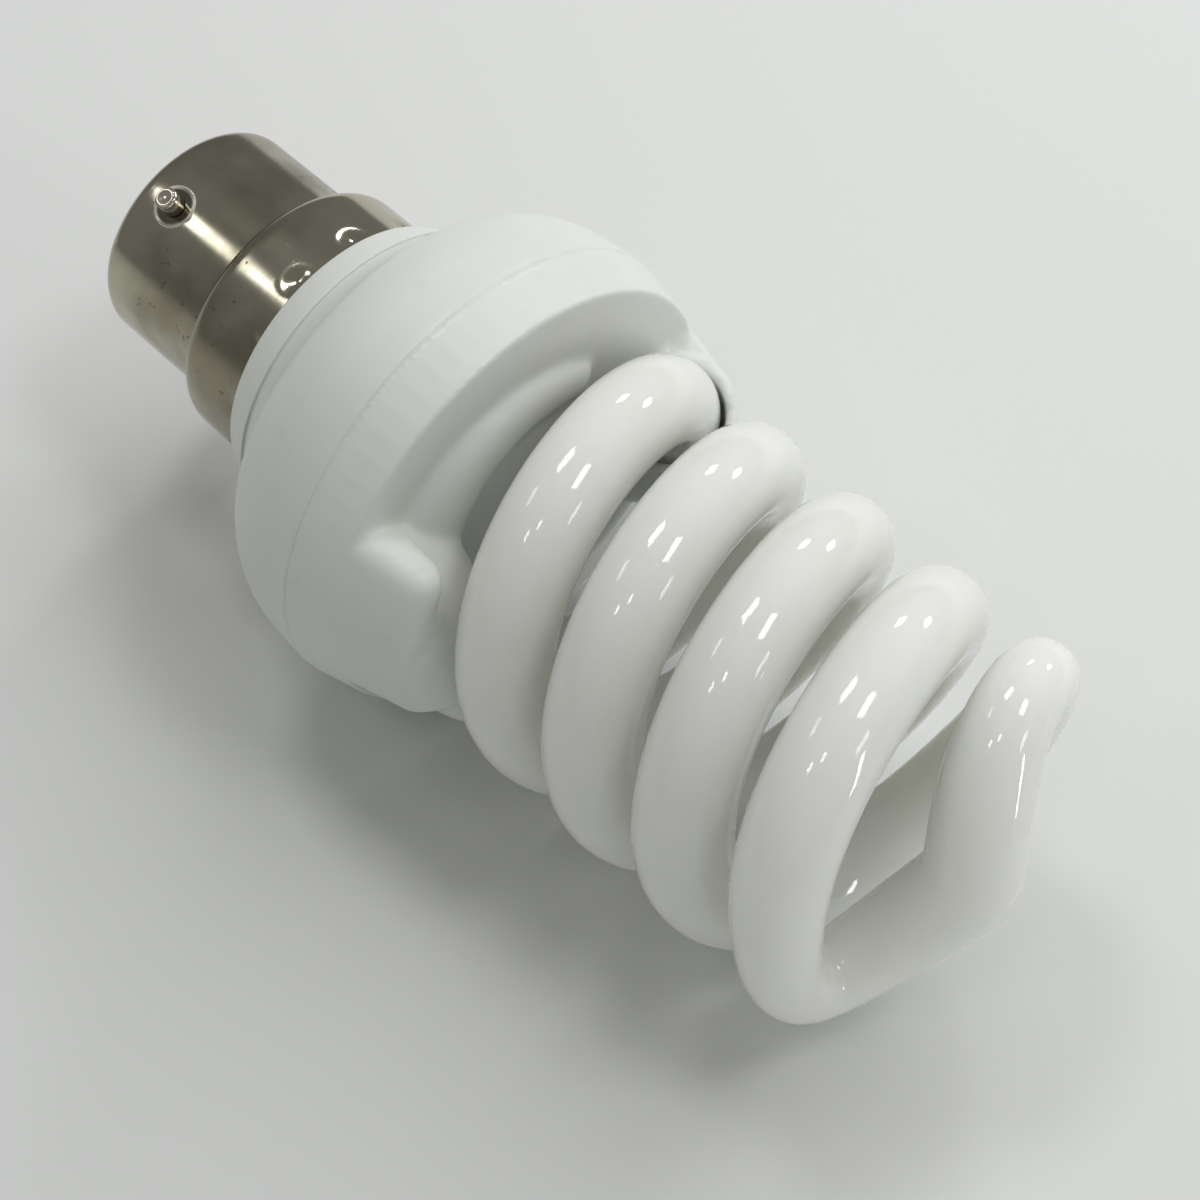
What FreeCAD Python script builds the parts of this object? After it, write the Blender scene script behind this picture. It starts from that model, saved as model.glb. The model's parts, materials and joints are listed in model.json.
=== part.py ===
import FreeCAD, Part
import math
import os

import Sketcher
from FreeCAD import Placement, Rotation, Vector

# Spiral energy saving lamp with a two-pin bayonet cap, in millimetres.
# The lamp's axis is X, from the cap to the tip of the spiral. The origin is on
# that axis, in the plane of the two bayonet pins. Z is up.

# Driving dimensions: name, value, what it is
SIZES = [
    # Bayonet cap
    ("pin_to_rim", 4.2, "pin axis to the cap's rim"),
    ("shell_r", 11.0, "outside radius of the narrow shell"),
    ("shell_len", 13.9, "rim to the step"),
    ("shell_wall", 0.4, "sheet thickness of the cap"),
    ("rim_arc", 0.9, "rounding of the rim"),
    ("rim_lip", 1.6, "width of the rolled rim"),
    ("step_fillet", 0.5, "inner rounding at the step"),
    ("step_round", 0.95, "outer rounding at the step"),
    ("skirt_step", 2.0, "skirt outside the narrow shell"),
    ("skirt_len", 8.2, "step to the end of the skirt"),
    ("lip_rise", 0.25, "flare of the skirt's end lip"),
    ("lip_len", 0.5, "length of the end lip"),
    ("cap_turn", 24.0, "turn of the cap about the axis, pins from the Z axis"),
    ("dent_count", 12, "staking dents round the skirt"),
    ("dent_from_end", 1.3, "dent centre to the end of the skirt"),
    ("dent_ball_r", 0.8, "radius of the staking punch"),
    ("dent_depth", 0.5, "depth of a dent"),
    ("dent_turn", 22.0, "turn of the first dent from the contacts' line"),
    # Bayonet pins
    ("pin_r", 1.1, "pin radius"),
    ("pin_neck_r", 0.9, "pin where it passes through the shell"),
    ("pin_out", 2.45, "pin proud of the shell"),
    ("pin_round", 0.35, "rounding of the pin's end"),
    ("pin_head_r", 1.7, "rivet head inside the shell"),
    ("pin_head_len", 0.6, "thickness of the rivet head"),
    ("pin_gap", 0.04, "clearance of the pin in its hole"),
    ("boss_r", 2.2, "raised ring round a pin"),
    ("boss_rise", 0.35, "height of that ring"),
    # Insulator and contacts
    ("seat_gap", 0.05, "clearance of the insulator in the shell"),
    ("insulator_rise", 1.2, "insulator proud of the rim"),
    ("insulator_depth", 2.2, "insulator behind the rim"),
    ("insulator_round", 0.6, "rounding of its outer edge"),
    ("contact_off", 4.3, "contact to the axis"),
    ("contact_r", 2.4, "contact plate radius"),
    ("contact_len", 0.5, "contact plate thickness"),
    ("solder_r", 1.9, "solder dome radius"),
    ("solder_rise", 0.7, "solder dome height"),
    ("lead_r", 0.6, "insulated supply lead"),
    ("lead_gap", 0.15, "clearance of a lead in the insulator"),
    ("lead_run", 11.5, "straight run of a lead behind its contact"),
    ("lead_slant", 12.2, "run over which a lead moves outwards"),
    ("lead_clear", 0.65, "lead to the collar round it"),
    ("lead_bend", 4.0, "bend of a lead"),
    # Upper housing
    ("cap_gap", 0.2, "skirt end to the plastic shoulder"),
    ("collar_gap", 0.15, "skirt to the collar inside it"),
    ("collar_wall", 1.6, "collar thickness"),
    ("collar_inset", 0.6, "collar end to the inside of the step"),
    ("groove_spare", 0.2, "staking groove round the dents"),
    ("housing_wall", 1.4, "wall of the housings"),
    ("neck_rise", 1.5, "neck ring outside the skirt"),
    ("ring_len", 3.5, "length of the neck ring"),
    ("ring_flare", 1.7, "widening of the neck ring"),
    ("ring_step", 0.35, "step behind the neck ring"),
    ("flank_len", 4.3, "flaring flank, along the axis"),
    ("flank_rise", 4.55, "widening of the flank"),
    ("flank_arc", 16.0, "hollow curve of the flank"),
    ("flank_slope", 45.0, "slope of the wall inside the flank"),
    ("shoulder_len", 6.0, "rounded shoulder, along the axis"),
    ("shoulder_rise", 2.9, "widening of the shoulder"),
    ("shoulder_arc", 11.0, "curve of the shoulder"),
    ("part_len", 4.4, "end of the shoulder to the parting line"),
    ("part_rise", 0.4, "widening up to the parting line"),
    ("part_bevel", 0.2, "bevel either side of the parting line"),
    ("lap_wall", 1.6, "housing wall outside the lap joint"),
    ("lap_gap", 0.1, "clearance in the lap joint"),
    # Tube cover
    ("cover_len", 5.2, "parting line to the end face"),
    ("face_draft", 1.2, "end face inside the parting line"),
    ("face_wall", 1.5, "thickness of the end face"),
    ("spigot_wall", 1.1, "rim of the cover inside the housing"),
    ("ledge_len", 1.2, "thickness of the board ledge"),
    ("ledge_in", 1.2, "width of the board ledge"),
    ("hood_wall", 1.15, "wall of a hood over the tube"),
    ("hood_inset", 1.4, "round part of a hood to the edge of the end face"),
    ("hood_start", -93.0, "end of the hood's outer wall, along the strand"),
    ("hood_top", 3.2, "top of that wall above the middle of the tube"),
    ("hood_round", 2.4, "rounding of that wall's end and upper edge"),
    ("tube_gap", 0.45, "clearance of the tube in its hood"),
    ("mouth_angle", -40.0, "mouth of a hood, along the strand"),
    ("bore_past", 25.0, "angle by which the hood's bore runs past its mouth"),
    ("ridge_end", -176.0, "tail of the ridge that leads up to a hood"),
    ("ridge_tail", 9.0, "angle over which the tail rounds off"),
    ("ridge_half", 4.1, "half width of the ridge where it meets the hood"),
    ("ridge_tail_half", 2.2, "half width of the ridge at its tail"),
    ("ridge_high", 3.1, "height of the ridge where it meets the hood"),
    ("ridge_tail_high", 1.2, "height of the ridge at its tail"),
    ("ridge_in", 1.9, "ridge inside the strand's radius"),
    # Spiral tube
    ("tube_r", 4.3, "outside radius of the glass tube"),
    ("helix_pitch", 21.2, "advance of one strand in one turn"),
    ("helix_rise", 7.2, "end face to the strand at its zero angle"),
    ("strand_turn", 57.0, "zero angle of the first strand, from Y"),
    ("bend_angle", -50.0, "strand angle where the tube turns down"),
    ("bend_sweep", 26.0, "angle that the turn takes"),
    ("bend_reach", 4.0, "handle length of that turn"),
    ("tube_depth", 3.5, "end face to the tube's ends"),
    ("bridge_angle", 651.0, "strand angle where the bridge begins"),
    ("bridge_lead", 45.0, "angle of strand that is lofted with the bridge"),
    ("bridge_reach", 18.4, "handle length at the start of the bridge"),
    ("bridge_bulge", 1.9, "shoulder of the bridge outside the strand"),
    ("bridge_sweep", 81.0, "angle from the bridge's start to its shoulder"),
    ("bridge_rise", 0.1, "shoulder of the bridge above its start"),
    ("tip_rise", 8.0, "start of the bridge to the crossing on the axis"),
    ("tip_reach", 3.4, "handle length at the crossing"),
    ("tip_heading", -171.0, "direction of the crossing, from the zero angle"),
    ("pinch", 0.22, "share by which the tube narrows in the end turn"),
    ("pinch_from_tip", 21.5, "narrowest place to the crossing"),
    ("pinch_len", 11.0, "spread of the narrowing"),
    ("cement_r", 5.2, "cement round a tube end"),
    ("cement_len", 1.6, "depth of the cement"),
    # Circuit board
    ("board_rise", 3.5, "component face to the parting line"),
    ("board_len", 1.6, "board thickness"),
    ("board_gap", 0.2, "board to the rim round it"),
    ("post_side", 0.8, "square wrap post"),
    ("post_len", 2.4, "height of a wrap post"),
    ("post_off", 2.0, "wrap post to the tube end's centre"),
    ("wire_r", 0.2, "tube lead wire"),
    ("leg_r", 0.35, "component legs"),
    ("leg_bend", 0.6, "bend of a component's leg"),
    # Components on the board
    ("bulk_r", 5.0, "bulk capacitor radius"),
    ("bulk_len", 16.0, "bulk capacitor length"),
    ("bulk_crimp", 0.4, "depth of its crimp groove"),
    ("bulk_crimp_at", 1.6, "board to the crimp groove"),
    ("bulk_crimp_len", 0.8, "half of the crimp groove"),
    ("bulk_round", 0.6, "rounding of its top"),
    ("core_width", 13.0, "choke core, wide side"),
    ("core_depth", 6.0, "choke core, thickness"),
    ("core_half", 5.8, "height of one core half"),
    ("core_leg", 2.2, "outer legs and yoke of the core"),
    ("core_mid", 3.2, "middle leg of the core"),
    ("coil_wall", 0.6, "walls of the choke's bobbin"),
    ("coil_gap", 0.1, "bobbin to the core"),
    ("coil_base", 1.2, "bobbin's foot under the core"),
    ("ring_core_r", 4.7, "drive transformer core, outside"),
    ("ring_core_in", 2.5, "drive transformer core, hole"),
    ("ring_core_len", 4.5, "drive transformer core, height"),
    ("ring_wire", 0.5, "thickness of its windings"),
    ("ring_coil_angle", 70.0, "angle that one of its windings takes"),
    ("ring_coils", 3, "windings on that core"),
    ("drum_r", 2.5, "filter choke flange"),
    ("drum_mid_r", 1.5, "filter choke middle"),
    ("drum_len", 6.0, "filter choke height"),
    ("drum_flange", 1.0, "filter choke flange thickness"),
    ("drum_coil_r", 2.2, "filter choke winding"),
    ("switch_r", 2.4, "transistor case radius"),
    ("switch_len", 4.8, "transistor case height"),
    ("switch_flat", 1.3, "flat of the case to its centre"),
    ("switch_leg", 0.5, "transistor leg, square"),
    ("switch_leg_len", 2.2, "transistor leg, free length"),
    ("switch_leg_step", 1.27, "transistor leg spacing"),
    ("film_round", 0.8, "rounding of the film capacitors"),
    ("resonant_long", 10.0, "resonant capacitor length"),
    ("resonant_wide", 4.5, "resonant capacitor width"),
    ("resonant_tall", 7.5, "resonant capacitor height"),
    ("start_long", 10.0, "start capacitor length"),
    ("start_wide", 4.0, "start capacitor width"),
    ("start_tall", 7.0, "start capacitor height"),
    ("blocking_long", 8.0, "blocking capacitor length"),
    ("blocking_wide", 3.5, "blocking capacitor width"),
    ("blocking_tall", 5.5, "blocking capacitor height"),
    ("diode_r", 1.35, "rectifier diode radius"),
    ("diode_len", 5.2, "rectifier diode length"),
    ("diode_span", 7.4, "rectifier diode leg spacing"),
    ("resistor_r", 1.15, "resistor radius"),
    ("resistor_len", 6.0, "resistor length"),
    ("resistor_span", 8.6, "resistor leg spacing"),
    ("diac_r", 0.95, "trigger diode radius"),
    ("diac_len", 4.2, "trigger diode length"),
    ("diac_span", 6.4, "trigger diode leg spacing"),
    ("fuse_r", 1.6, "fusible resistor radius"),
    ("fuse_len", 8.0, "fusible resistor length"),
    ("fuse_span", 10.4, "fusible resistor leg spacing"),
    ("axial_lift", 0.2, "lying component to the board"),
]

# Places on the board: name, Y, Z, turn about the board's normal
SPOTS = {
    "bulk_capacitor": (0.0, -4.0, 0),
    "choke": (0.0, 5.8, 0),
    "drive": (12.6, -5.8, 0),
    "filter": (-11.9, 11.6, 0),
    "transistor_1": (10.2, 12.0, 30),
    "transistor_2": (14.4, 5.0, 60),
    "resonant_capacitor": (-11.4, 3.4, 90),
    "start_capacitor": (-4.6, -13.4, 0),
    "blocking_capacitor": (7.2, -14.2, 0),
    "rectifier_diode_1": (3.4, 12.2, 0),
    "rectifier_diode_2": (3.4, 15.6, 0),
    "rectifier_diode_3": (-4.9, 12.2, 0),
    "rectifier_diode_4": (-4.9, 15.6, 0),
    "resistor_1": (-14.4, -6.2, 90),
    "resistor_2": (-16.9, -4.2, 90),
    "resistor_3": (18.2, 2.0, 90),
    "diac": (-11.4, -8.0, 90),
    "fuse_resistor": (0.0, -17.9, 0),
}

doc = FreeCAD.newDocument("spiral_lamp")
sheet = doc.addObject("Spreadsheet::Sheet", "dims")
row = 1
for alias, value, meaning in SIZES:
    sheet.set(f"A{row}", meaning)
    sheet.set(f"B{row}", str(value))
    sheet.setAlias(f"B{row}", alias)
    row += 1
for spot, (spot_y, spot_z, spot_turn) in SPOTS.items():
    for suffix, value in (("y", spot_y), ("z", spot_z), ("turn", spot_turn)):
        sheet.set(f"A{row}", f"{spot}, {suffix}")
        sheet.set(f"B{row}", str(value))
        sheet.setAlias(f"B{row}", f"{spot}_{suffix}")
        row += 1
doc.recompute()

# Stations along the axis, as expressions on the sheet
RIM = "(-dims.pin_to_rim)"
STEP = f"({RIM} + dims.shell_len)"
SKIRT_END = f"({STEP} + dims.skirt_len)"
DENT = f"({SKIRT_END} - dims.dent_from_end)"
COLLAR = f"({STEP} + dims.shell_wall + dims.collar_inset)"
NECK = f"({SKIRT_END} + dims.cap_gap)"
RING = f"({NECK} + dims.ring_len)"
FLANK = f"({RING} + dims.flank_len)"
SHOULDER = f"({FLANK} + dims.shoulder_len)"
PARTING = f"({SHOULDER} + dims.part_len)"
FACE = f"({PARTING} + dims.cover_len)"
BOARD = f"({PARTING} - dims.board_rise)"
BOARD_BACK = f"({BOARD} + dims.board_len)"
TUBE_END = f"({FACE} - dims.tube_depth)"

# Distances from the axis, each from its neighbour's
SKIRT_R = "(dims.shell_r + dims.skirt_step)"
COLLAR_R = f"({SKIRT_R} - dims.shell_wall - dims.collar_gap)"
COLLAR_IN_R = f"({COLLAR_R} - dims.collar_wall)"
LEAD_OFF = f"({COLLAR_IN_R} - dims.lead_r - dims.lead_clear)"
NECK_R = f"({SKIRT_R} + dims.neck_rise)"
RING_R = f"({NECK_R} + dims.ring_flare)"
FLANK_R = f"({RING_R} - dims.ring_step + dims.flank_rise)"
SHOULDER_R = f"({FLANK_R} + dims.shoulder_rise)"
PART_R = f"({SHOULDER_R} + dims.part_rise)"
FACE_R = f"({PART_R} - dims.face_draft)"
SPIGOT_R = f"({PART_R} - dims.lap_wall - dims.lap_gap)"
BOARD_RIM_R = f"({SPIGOT_R} - dims.spigot_wall)"
BOARD_R = f"({BOARD_RIM_R} - dims.board_gap)"
HOOD_R = "(dims.tube_r + dims.tube_gap + dims.hood_wall)"
HELIX_R = f"({FACE_R} - dims.hood_inset - {HOOD_R})"

AXIS = Vector(1, 0, 0)
sub_parts = []


def number(expression):
    """The value of an expression on the sheet."""
    return float(sheet.evalExpression(expression))


def keep(item, name):
    """Mark a finished object as the sub-part of that name."""
    item.Label = name
    sub_parts.append(item)
    return item


def origin_feature(body, role):
    return next(item for item in body.Origin.OriginFeatures if item.Role == role)


def new_body(name):
    return doc.addObject("PartDesign::Body", f"{name}_body")


def arc_between(start, end, radius):
    """Short arc from start to end. A positive radius has its centre on the left of the way."""
    chord = end.sub(start)
    left = Vector(-chord.y, chord.x, 0).normalize()
    reach = math.sqrt(radius ** 2 - chord.Length ** 2 / 4)
    centre = (start + end) / 2 + left * math.copysign(reach, radius)
    first, last = (start, end) if radius > 0 else (end, start)
    angles = [math.atan2(p.y - centre.y, p.x - centre.x) for p in (first, last)]
    return Part.ArcOfCircle(Part.Circle(centre, Vector(0, 0, 1), abs(radius)), *angles)


def new_sketch(body, name, plane):
    sketch = body.newObject("Sketcher::SketchObject", name)
    sketch.AttachmentSupport = (origin_feature(body, plane), "")
    sketch.MapMode = "FlatFace"
    return sketch


def bind(sketch, value, *rule):
    """Add a constraint whose value follows an expression."""
    index = sketch.addConstraint(Sketcher.Constraint(*rule, number(value)))
    sketch.setExpression(f"Constraints[{index}]", value)


def outline_sketch(body, name, corners, arcs=None, plane="XY_Plane", closed=True):
    """Fully dimensioned sketch through the corners, which are pairs of expressions.
    For a corner where an arc starts, arcs gives the side of its centre and its radius."""
    arcs = arcs or {}
    sketch = new_sketch(body, name, plane)
    points = [Vector(number(x), number(y), 0) for x, y in corners]
    count = len(points)
    sides = count if closed else count - 1
    ends = []
    for i in range(sides):
        point = points[i]
        after = points[(i + 1) % count]
        if i in arcs:
            side, radius = arcs[i]
            sketch.addGeometry(arc_between(point, after, side * number(radius)), False)
            ends.append((1, 2) if side > 0 else (2, 1))
        else:
            sketch.addGeometry(Part.LineSegment(point, after), False)
            ends.append((1, 2))
    for i in range(sides if closed else sides - 1):
        after = (i + 1) % count
        sketch.addConstraint(Sketcher.Constraint("Coincident", i, ends[i][1], after, ends[after][0]))
    for i, (x, y) in enumerate(corners):
        side, vertex = (i, ends[i][0]) if i < sides else (i - 1, ends[i - 1][1])
        bind(sketch, x, "DistanceX", -1, 1, side, vertex)
        bind(sketch, y, "DistanceY", -1, 1, side, vertex)
    for i, (side, radius) in arcs.items():
        bind(sketch, radius, "Radius", i)
    return sketch


def revolve(body, name, corners, arcs=None):
    """Solid of revolution about the X axis of the body."""
    feature = body.newObject("PartDesign::Revolution", name)
    feature.Profile = outline_sketch(body, f"{name}_outline", corners, arcs)
    feature.ReferenceAxis = (feature.Profile[0], ["H_Axis"])
    feature.Angle = 360
    doc.recompute()
    return feature


def primitive(body, kind, name, sizes, base=("0", "0", "0"), rotation=None):
    """Additive or subtractive primitive of a body, with its sizes and base bound to the sheet."""
    feature = body.newObject(f"PartDesign::{kind}", name)
    feature.Placement = Placement(Vector(), rotation or Rotation())
    for size, expression in sizes.items():
        feature.setExpression(size, expression)
    for axis, expression in zip("xyz", base):
        feature.setExpression(f"Placement.Base.{axis}", expression)
    return feature


def block(body, name, size, centre, kind="AdditiveBox"):
    """Box of the size (length, width, height), centred in X and Y and standing on centre."""
    length, width, height = size
    base = (f"{centre[0]} - ({length}) / 2", f"{centre[1]} - ({width}) / 2", centre[2])
    return primitive(body, kind, name, {"Length": length, "Width": width, "Height": height}, base)


def rod(body, name, radius, length, base, rotation=None, kind="AdditiveCylinder"):
    return primitive(body, kind, name, {"Radius": radius, "Height": length}, base, rotation)


def pattern(body, name, features, count):
    """Copies of features, evenly spaced about the body's X axis."""
    doc.recompute()
    feature = body.newObject("PartDesign::PolarPattern", name)
    feature.Originals = features
    feature.Axis = (origin_feature(body, "X_Axis"), [""])
    feature.Angle = 360
    feature.setExpression("Occurrences", count)
    body.Tip = feature
    doc.recompute()
    return feature


def plain_feature(name, shape):
    feature = doc.addObject("Part::Feature", name)
    feature.Shape = shape
    return feature


def turned(angle, offset=Vector()):
    """Placement of a cap piece: moved by the offset, then turned about the lamp's axis."""
    spin = Rotation(AXIS, number("dims.cap_turn") + angle)
    return Placement(spin.multVec(offset), spin)


# Bayonet cap


def cap_shell():
    body = new_body("cap_shell")
    wall = "dims.shell_wall"
    corners = [
        (RIM, "dims.shell_r - dims.rim_lip"),
        (RIM, "dims.shell_r - dims.rim_arc"),
        (f"{RIM} + dims.rim_arc", "dims.shell_r"),
        (f"{STEP} - dims.step_fillet", "dims.shell_r"),
        (STEP, "dims.shell_r + dims.step_fillet"),
        (STEP, f"{SKIRT_R} - dims.step_round"),
        (f"{STEP} + dims.step_round", SKIRT_R),
        (f"{SKIRT_END} - dims.lip_len", SKIRT_R),
        (SKIRT_END, f"{SKIRT_R} + dims.lip_rise"),
        (SKIRT_END, f"{SKIRT_R} + dims.lip_rise - {wall}"),
        (f"{SKIRT_END} - dims.lip_len", f"{SKIRT_R} - {wall}"),
        (f"{STEP} + dims.step_round", f"{SKIRT_R} - {wall}"),
        (f"{STEP} + {wall}", f"{SKIRT_R} - dims.step_round"),
        (f"{STEP} + {wall}", "dims.shell_r + dims.step_fillet"),
        (f"{STEP} - dims.step_fillet", f"dims.shell_r - {wall}"),
        (f"{RIM} + dims.rim_arc", f"dims.shell_r - {wall}"),
        (f"{RIM} + {wall}", "dims.shell_r - dims.rim_arc"),
        (f"{RIM} + {wall}", "dims.shell_r - dims.rim_lip"),
    ]
    arcs = {
        1: (-1, "dims.rim_arc"),
        3: (1, "dims.step_fillet"),
        5: (-1, "dims.step_round"),
        11: (1, f"dims.step_round - {wall}"),
        13: (-1, f"dims.step_fillet + {wall}"),
        15: (1, f"dims.rim_arc - {wall}"),
    }
    revolve(body, "cap_wall", corners, arcs)
    foot = f"sqrt(dims.shell_r ^ 2 - dims.boss_r ^ 2) - {wall} / 4"
    tall = f"dims.shell_r + dims.boss_rise - ({foot})"
    ring = rod(body, "pin_ring", "dims.boss_r", tall, ("0", "0", foot))
    hole_r = "dims.pin_neck_r + dims.pin_gap"
    hole = rod(body, "pin_hole", hole_r, SKIRT_R, ("0", "0", "0"), kind="SubtractiveCylinder")
    pattern(body, "pin_places", [ring, hole], "2")
    bump = dent(body, "dent_bump", "PartDesign::Revolution", f"dims.dent_ball_r + {wall}", f"{wall} / 2")
    hollow = dent(body, "dent_hollow", "PartDesign::Groove", "dims.dent_ball_r", "-dims.dent_depth / 2")
    pattern(body, "dents", [bump, hollow], "dims.dent_count")
    body.Placement = turned(0)
    keep(body, "cap_shell")


def dent(body, name, kind, ball_r, inset):
    """Ball-shaped cap of one staking dent, cut off flat at the inset below the skirt's surface."""
    centre = f"({SKIRT_R} + dims.dent_ball_r - dims.dent_depth)"
    top = f"({SKIRT_R} - {inset})"
    half = f"sqrt(({ball_r}) ^ 2 - ({centre} - {top}) ^ 2)"
    corners = [("0", f"{centre} - ({ball_r})"), (half, top), ("0", top)]
    sketch = outline_sketch(body, f"{name}_outline", corners, {0: (1, ball_r)})
    sketch.AttachmentOffset = Placement(Vector(), Rotation(AXIS, number("dims.dent_turn")))
    sketch.setExpression("AttachmentOffset.Base.x", DENT)
    feature = body.newObject(kind, name)
    feature.Profile = sketch
    feature.ReferenceAxis = (sketch, ["V_Axis"])
    feature.Angle = 360
    doc.recompute()
    return feature


def bayonet_pins():
    top = "sqrt((dims.shell_r - dims.shell_wall) ^ 2 - dims.pin_head_r ^ 2)"
    reach = "dims.shell_r + dims.pin_out"
    corners = [
        (f"{top} - dims.pin_head_len", "0"),
        (f"{top} - dims.pin_head_len", "dims.pin_head_r"),
        (top, "dims.pin_head_r"),
        (top, "dims.pin_neck_r"),
        ("dims.shell_r + dims.boss_rise", "dims.pin_neck_r"),
        ("dims.shell_r + dims.boss_rise", "dims.pin_r"),
        (f"{reach} - dims.pin_round", "dims.pin_r"),
        (reach, "dims.pin_r - dims.pin_round"),
        (reach, "0"),
    ]
    upright = Placement(Vector(), Rotation(Vector(0, 1, 0), -90))
    for index, angle in enumerate((0, 180), start=1):
        name = f"bayonet_pin_{index}"
        body = new_body(name)
        revolve(body, f"{name}_rivet", corners, {6: (-1, "dims.pin_round")})
        body.Placement = turned(angle).multiply(upright)
        keep(body, name)


def cap_insulator():
    body = new_body("cap_insulator")
    front = f"{RIM} - dims.insulator_rise"
    seat = f"{RIM} + dims.shell_wall + dims.seat_gap"
    corners = [
        (front, "0"),
        (front, "dims.shell_r - dims.rim_lip - dims.seat_gap - dims.insulator_round"),
        (f"{front} + dims.insulator_round", "dims.shell_r - dims.rim_lip - dims.seat_gap"),
        (seat, "dims.shell_r - dims.rim_lip - dims.seat_gap"),
        (seat, "dims.shell_r - dims.rim_arc"),
        (f"{RIM} + dims.rim_arc", "dims.shell_r - dims.shell_wall - dims.seat_gap"),
        (f"{RIM} + dims.insulator_depth", "dims.shell_r - dims.shell_wall - dims.seat_gap"),
        (f"{RIM} + dims.insulator_depth", "0"),
    ]
    revolve(body, "insulator_disc", corners, {1: (-1, "dims.insulator_round")})
    along = Rotation(Vector(0, 1, 0), 90)
    depth = "dims.insulator_rise + dims.insulator_depth"
    for index, side in enumerate(("", "-"), start=1):
        place = (front, f"{side}dims.contact_off", "0")
        radius = "dims.lead_r + dims.lead_gap"
        rod(body, f"lead_hole_{index}", radius, depth, place, along, "SubtractiveCylinder")
    body.Placement = turned(0)
    keep(body, "cap_insulator")


def contacts():
    back = f"{RIM} - dims.insulator_rise"
    plate = f"{back} - dims.contact_len"
    tip = f"{plate} - dims.solder_rise"
    dome = "(dims.solder_r ^ 2 + dims.solder_rise ^ 2) / (2 * dims.solder_rise)"
    corners = [
        (tip, "0"),
        (plate, "dims.solder_r"),
        (plate, "dims.contact_r"),
        (back, "dims.contact_r"),
        (back, "0"),
    ]
    for index, angle in enumerate((0, 180), start=1):
        name = f"contact_{index}"
        body = new_body(name)
        revolve(body, f"{name}_plate", corners, {0: (-1, dome)})
        body.Placement = turned(angle, Vector(0, number("dims.contact_off"), 0))
        keep(body, name)


# Plastic housings


def upper_housing():
    body = new_body("upper_housing")
    bump = "(dims.dent_ball_r + dims.shell_wall)"
    groove_r = f"({SKIRT_R} - dims.dent_depth - dims.shell_wall - dims.groove_spare)"
    groove_half = f"({bump} + dims.groove_spare)"
    wall = "dims.housing_wall"
    lap_r = f"({PART_R} - dims.lap_wall)"
    lap_end = f"({BOARD} - dims.lap_gap)"
    slope = f"{wall} * cos(dims.flank_slope)"
    corners = [
        (COLLAR, COLLAR_IN_R),
        (COLLAR, COLLAR_R),
        (f"{DENT} - {groove_half}", COLLAR_R),
        (f"{DENT} - {groove_half}", groove_r),
        (f"{DENT} + {groove_half} - dims.groove_spare", groove_r),
        (NECK, COLLAR_R),
        (NECK, NECK_R),
        (RING, RING_R),
        (RING, f"{RING_R} - dims.ring_step"),
        (FLANK, FLANK_R),
        (SHOULDER, SHOULDER_R),
        (f"{PARTING} - dims.part_bevel", PART_R),
        (PARTING, f"{PART_R} - dims.part_bevel"),
        (PARTING, lap_r),
        (lap_end, lap_r),
        (SHOULDER, f"{SHOULDER_R} - {wall}"),
        (f"{FLANK} + {slope}", f"{FLANK_R} - {slope}"),
        (f"{RING} + {slope}", f"{RING_R} - dims.ring_step - {slope}"),
        (f"{NECK} + {wall}", COLLAR_IN_R),
    ]
    arcs = {
        8: (1, "dims.flank_arc"),
        9: (-1, "dims.shoulder_arc"),
        15: (1, f"dims.shoulder_arc - {wall}"),
    }
    revolve(body, "housing_wall_turned", corners, arcs)
    keep(body, "upper_housing")


def tube_cover():
    body = new_body("cover_base")
    inside = f"({FACE} - dims.face_wall)"
    ledge_in = f"({BOARD_RIM_R} - dims.ledge_in)"
    ledge_back = f"({BOARD_BACK} + dims.ledge_len)"
    corners = [
        (BOARD, SPIGOT_R),
        (PARTING, SPIGOT_R),
        (PARTING, f"{PART_R} - dims.part_bevel"),
        (f"{PARTING} + dims.part_bevel", PART_R),
        (FACE, FACE_R),
        (FACE, "0"),
        (inside, "0"),
        (inside, f"{FACE_R} - dims.housing_wall"),
        (ledge_back, BOARD_RIM_R),
        (ledge_back, ledge_in),
        (BOARD_BACK, ledge_in),
        (BOARD_BACK, BOARD_RIM_R),
        (BOARD, BOARD_RIM_R),
    ]
    revolve(body, "cover_wall", corners)
    added = []
    tunnels = []
    for strand in (0, 1):
        added.append(plain_feature(f"hood_{strand}", hood(strand)))
        added.append(plain_feature(f"hood_wall_{strand}", hood_wall(strand)))
        added.append(plain_feature(f"ridge_{strand}", ridge(strand)))
        path = entry_path(strand, number("dims.mouth_angle + dims.bore_past"))
        bore = pipe(path, number("dims.tube_r + dims.tube_gap"))
        tunnels.append(plain_feature(f"tunnel_{strand}", bore))
    whole = doc.addObject("Part::MultiFuse", "cover_whole")
    whole.Shapes = [body] + added
    bores = doc.addObject("Part::MultiFuse", "cover_bores")
    bores.Shapes = tunnels
    cut = doc.addObject("Part::Cut", "cover_cut")
    cut.Base = whole
    cut.Tool = bores
    keep(cut, "tube_cover")


def cone_radius(along):
    """Radius of the cover's cone at a place along the axis, also where it is carried on past the end face."""
    draft = number("dims.face_draft / (dims.cover_len - dims.part_bevel)")
    return number(FACE_R) - draft * (along - number(FACE))


def above_face(shape):
    """The part of a shape that lies above the middle of the end face and inside the cover's own cone."""
    low = number(f"{FACE} - dims.face_wall / 2")
    height = number(f"dims.helix_rise + 2 * {HOOD_R}")
    return shape.common(Part.makeCone(cone_radius(low), cone_radius(low + height), height, AXIS * low, AXIS))


def hood(strand):
    """Round hood that follows the tube from its bend to the mouth."""
    return above_face(pipe(entry_path(strand, number("dims.mouth_angle")), number(HOOD_R)))


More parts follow.
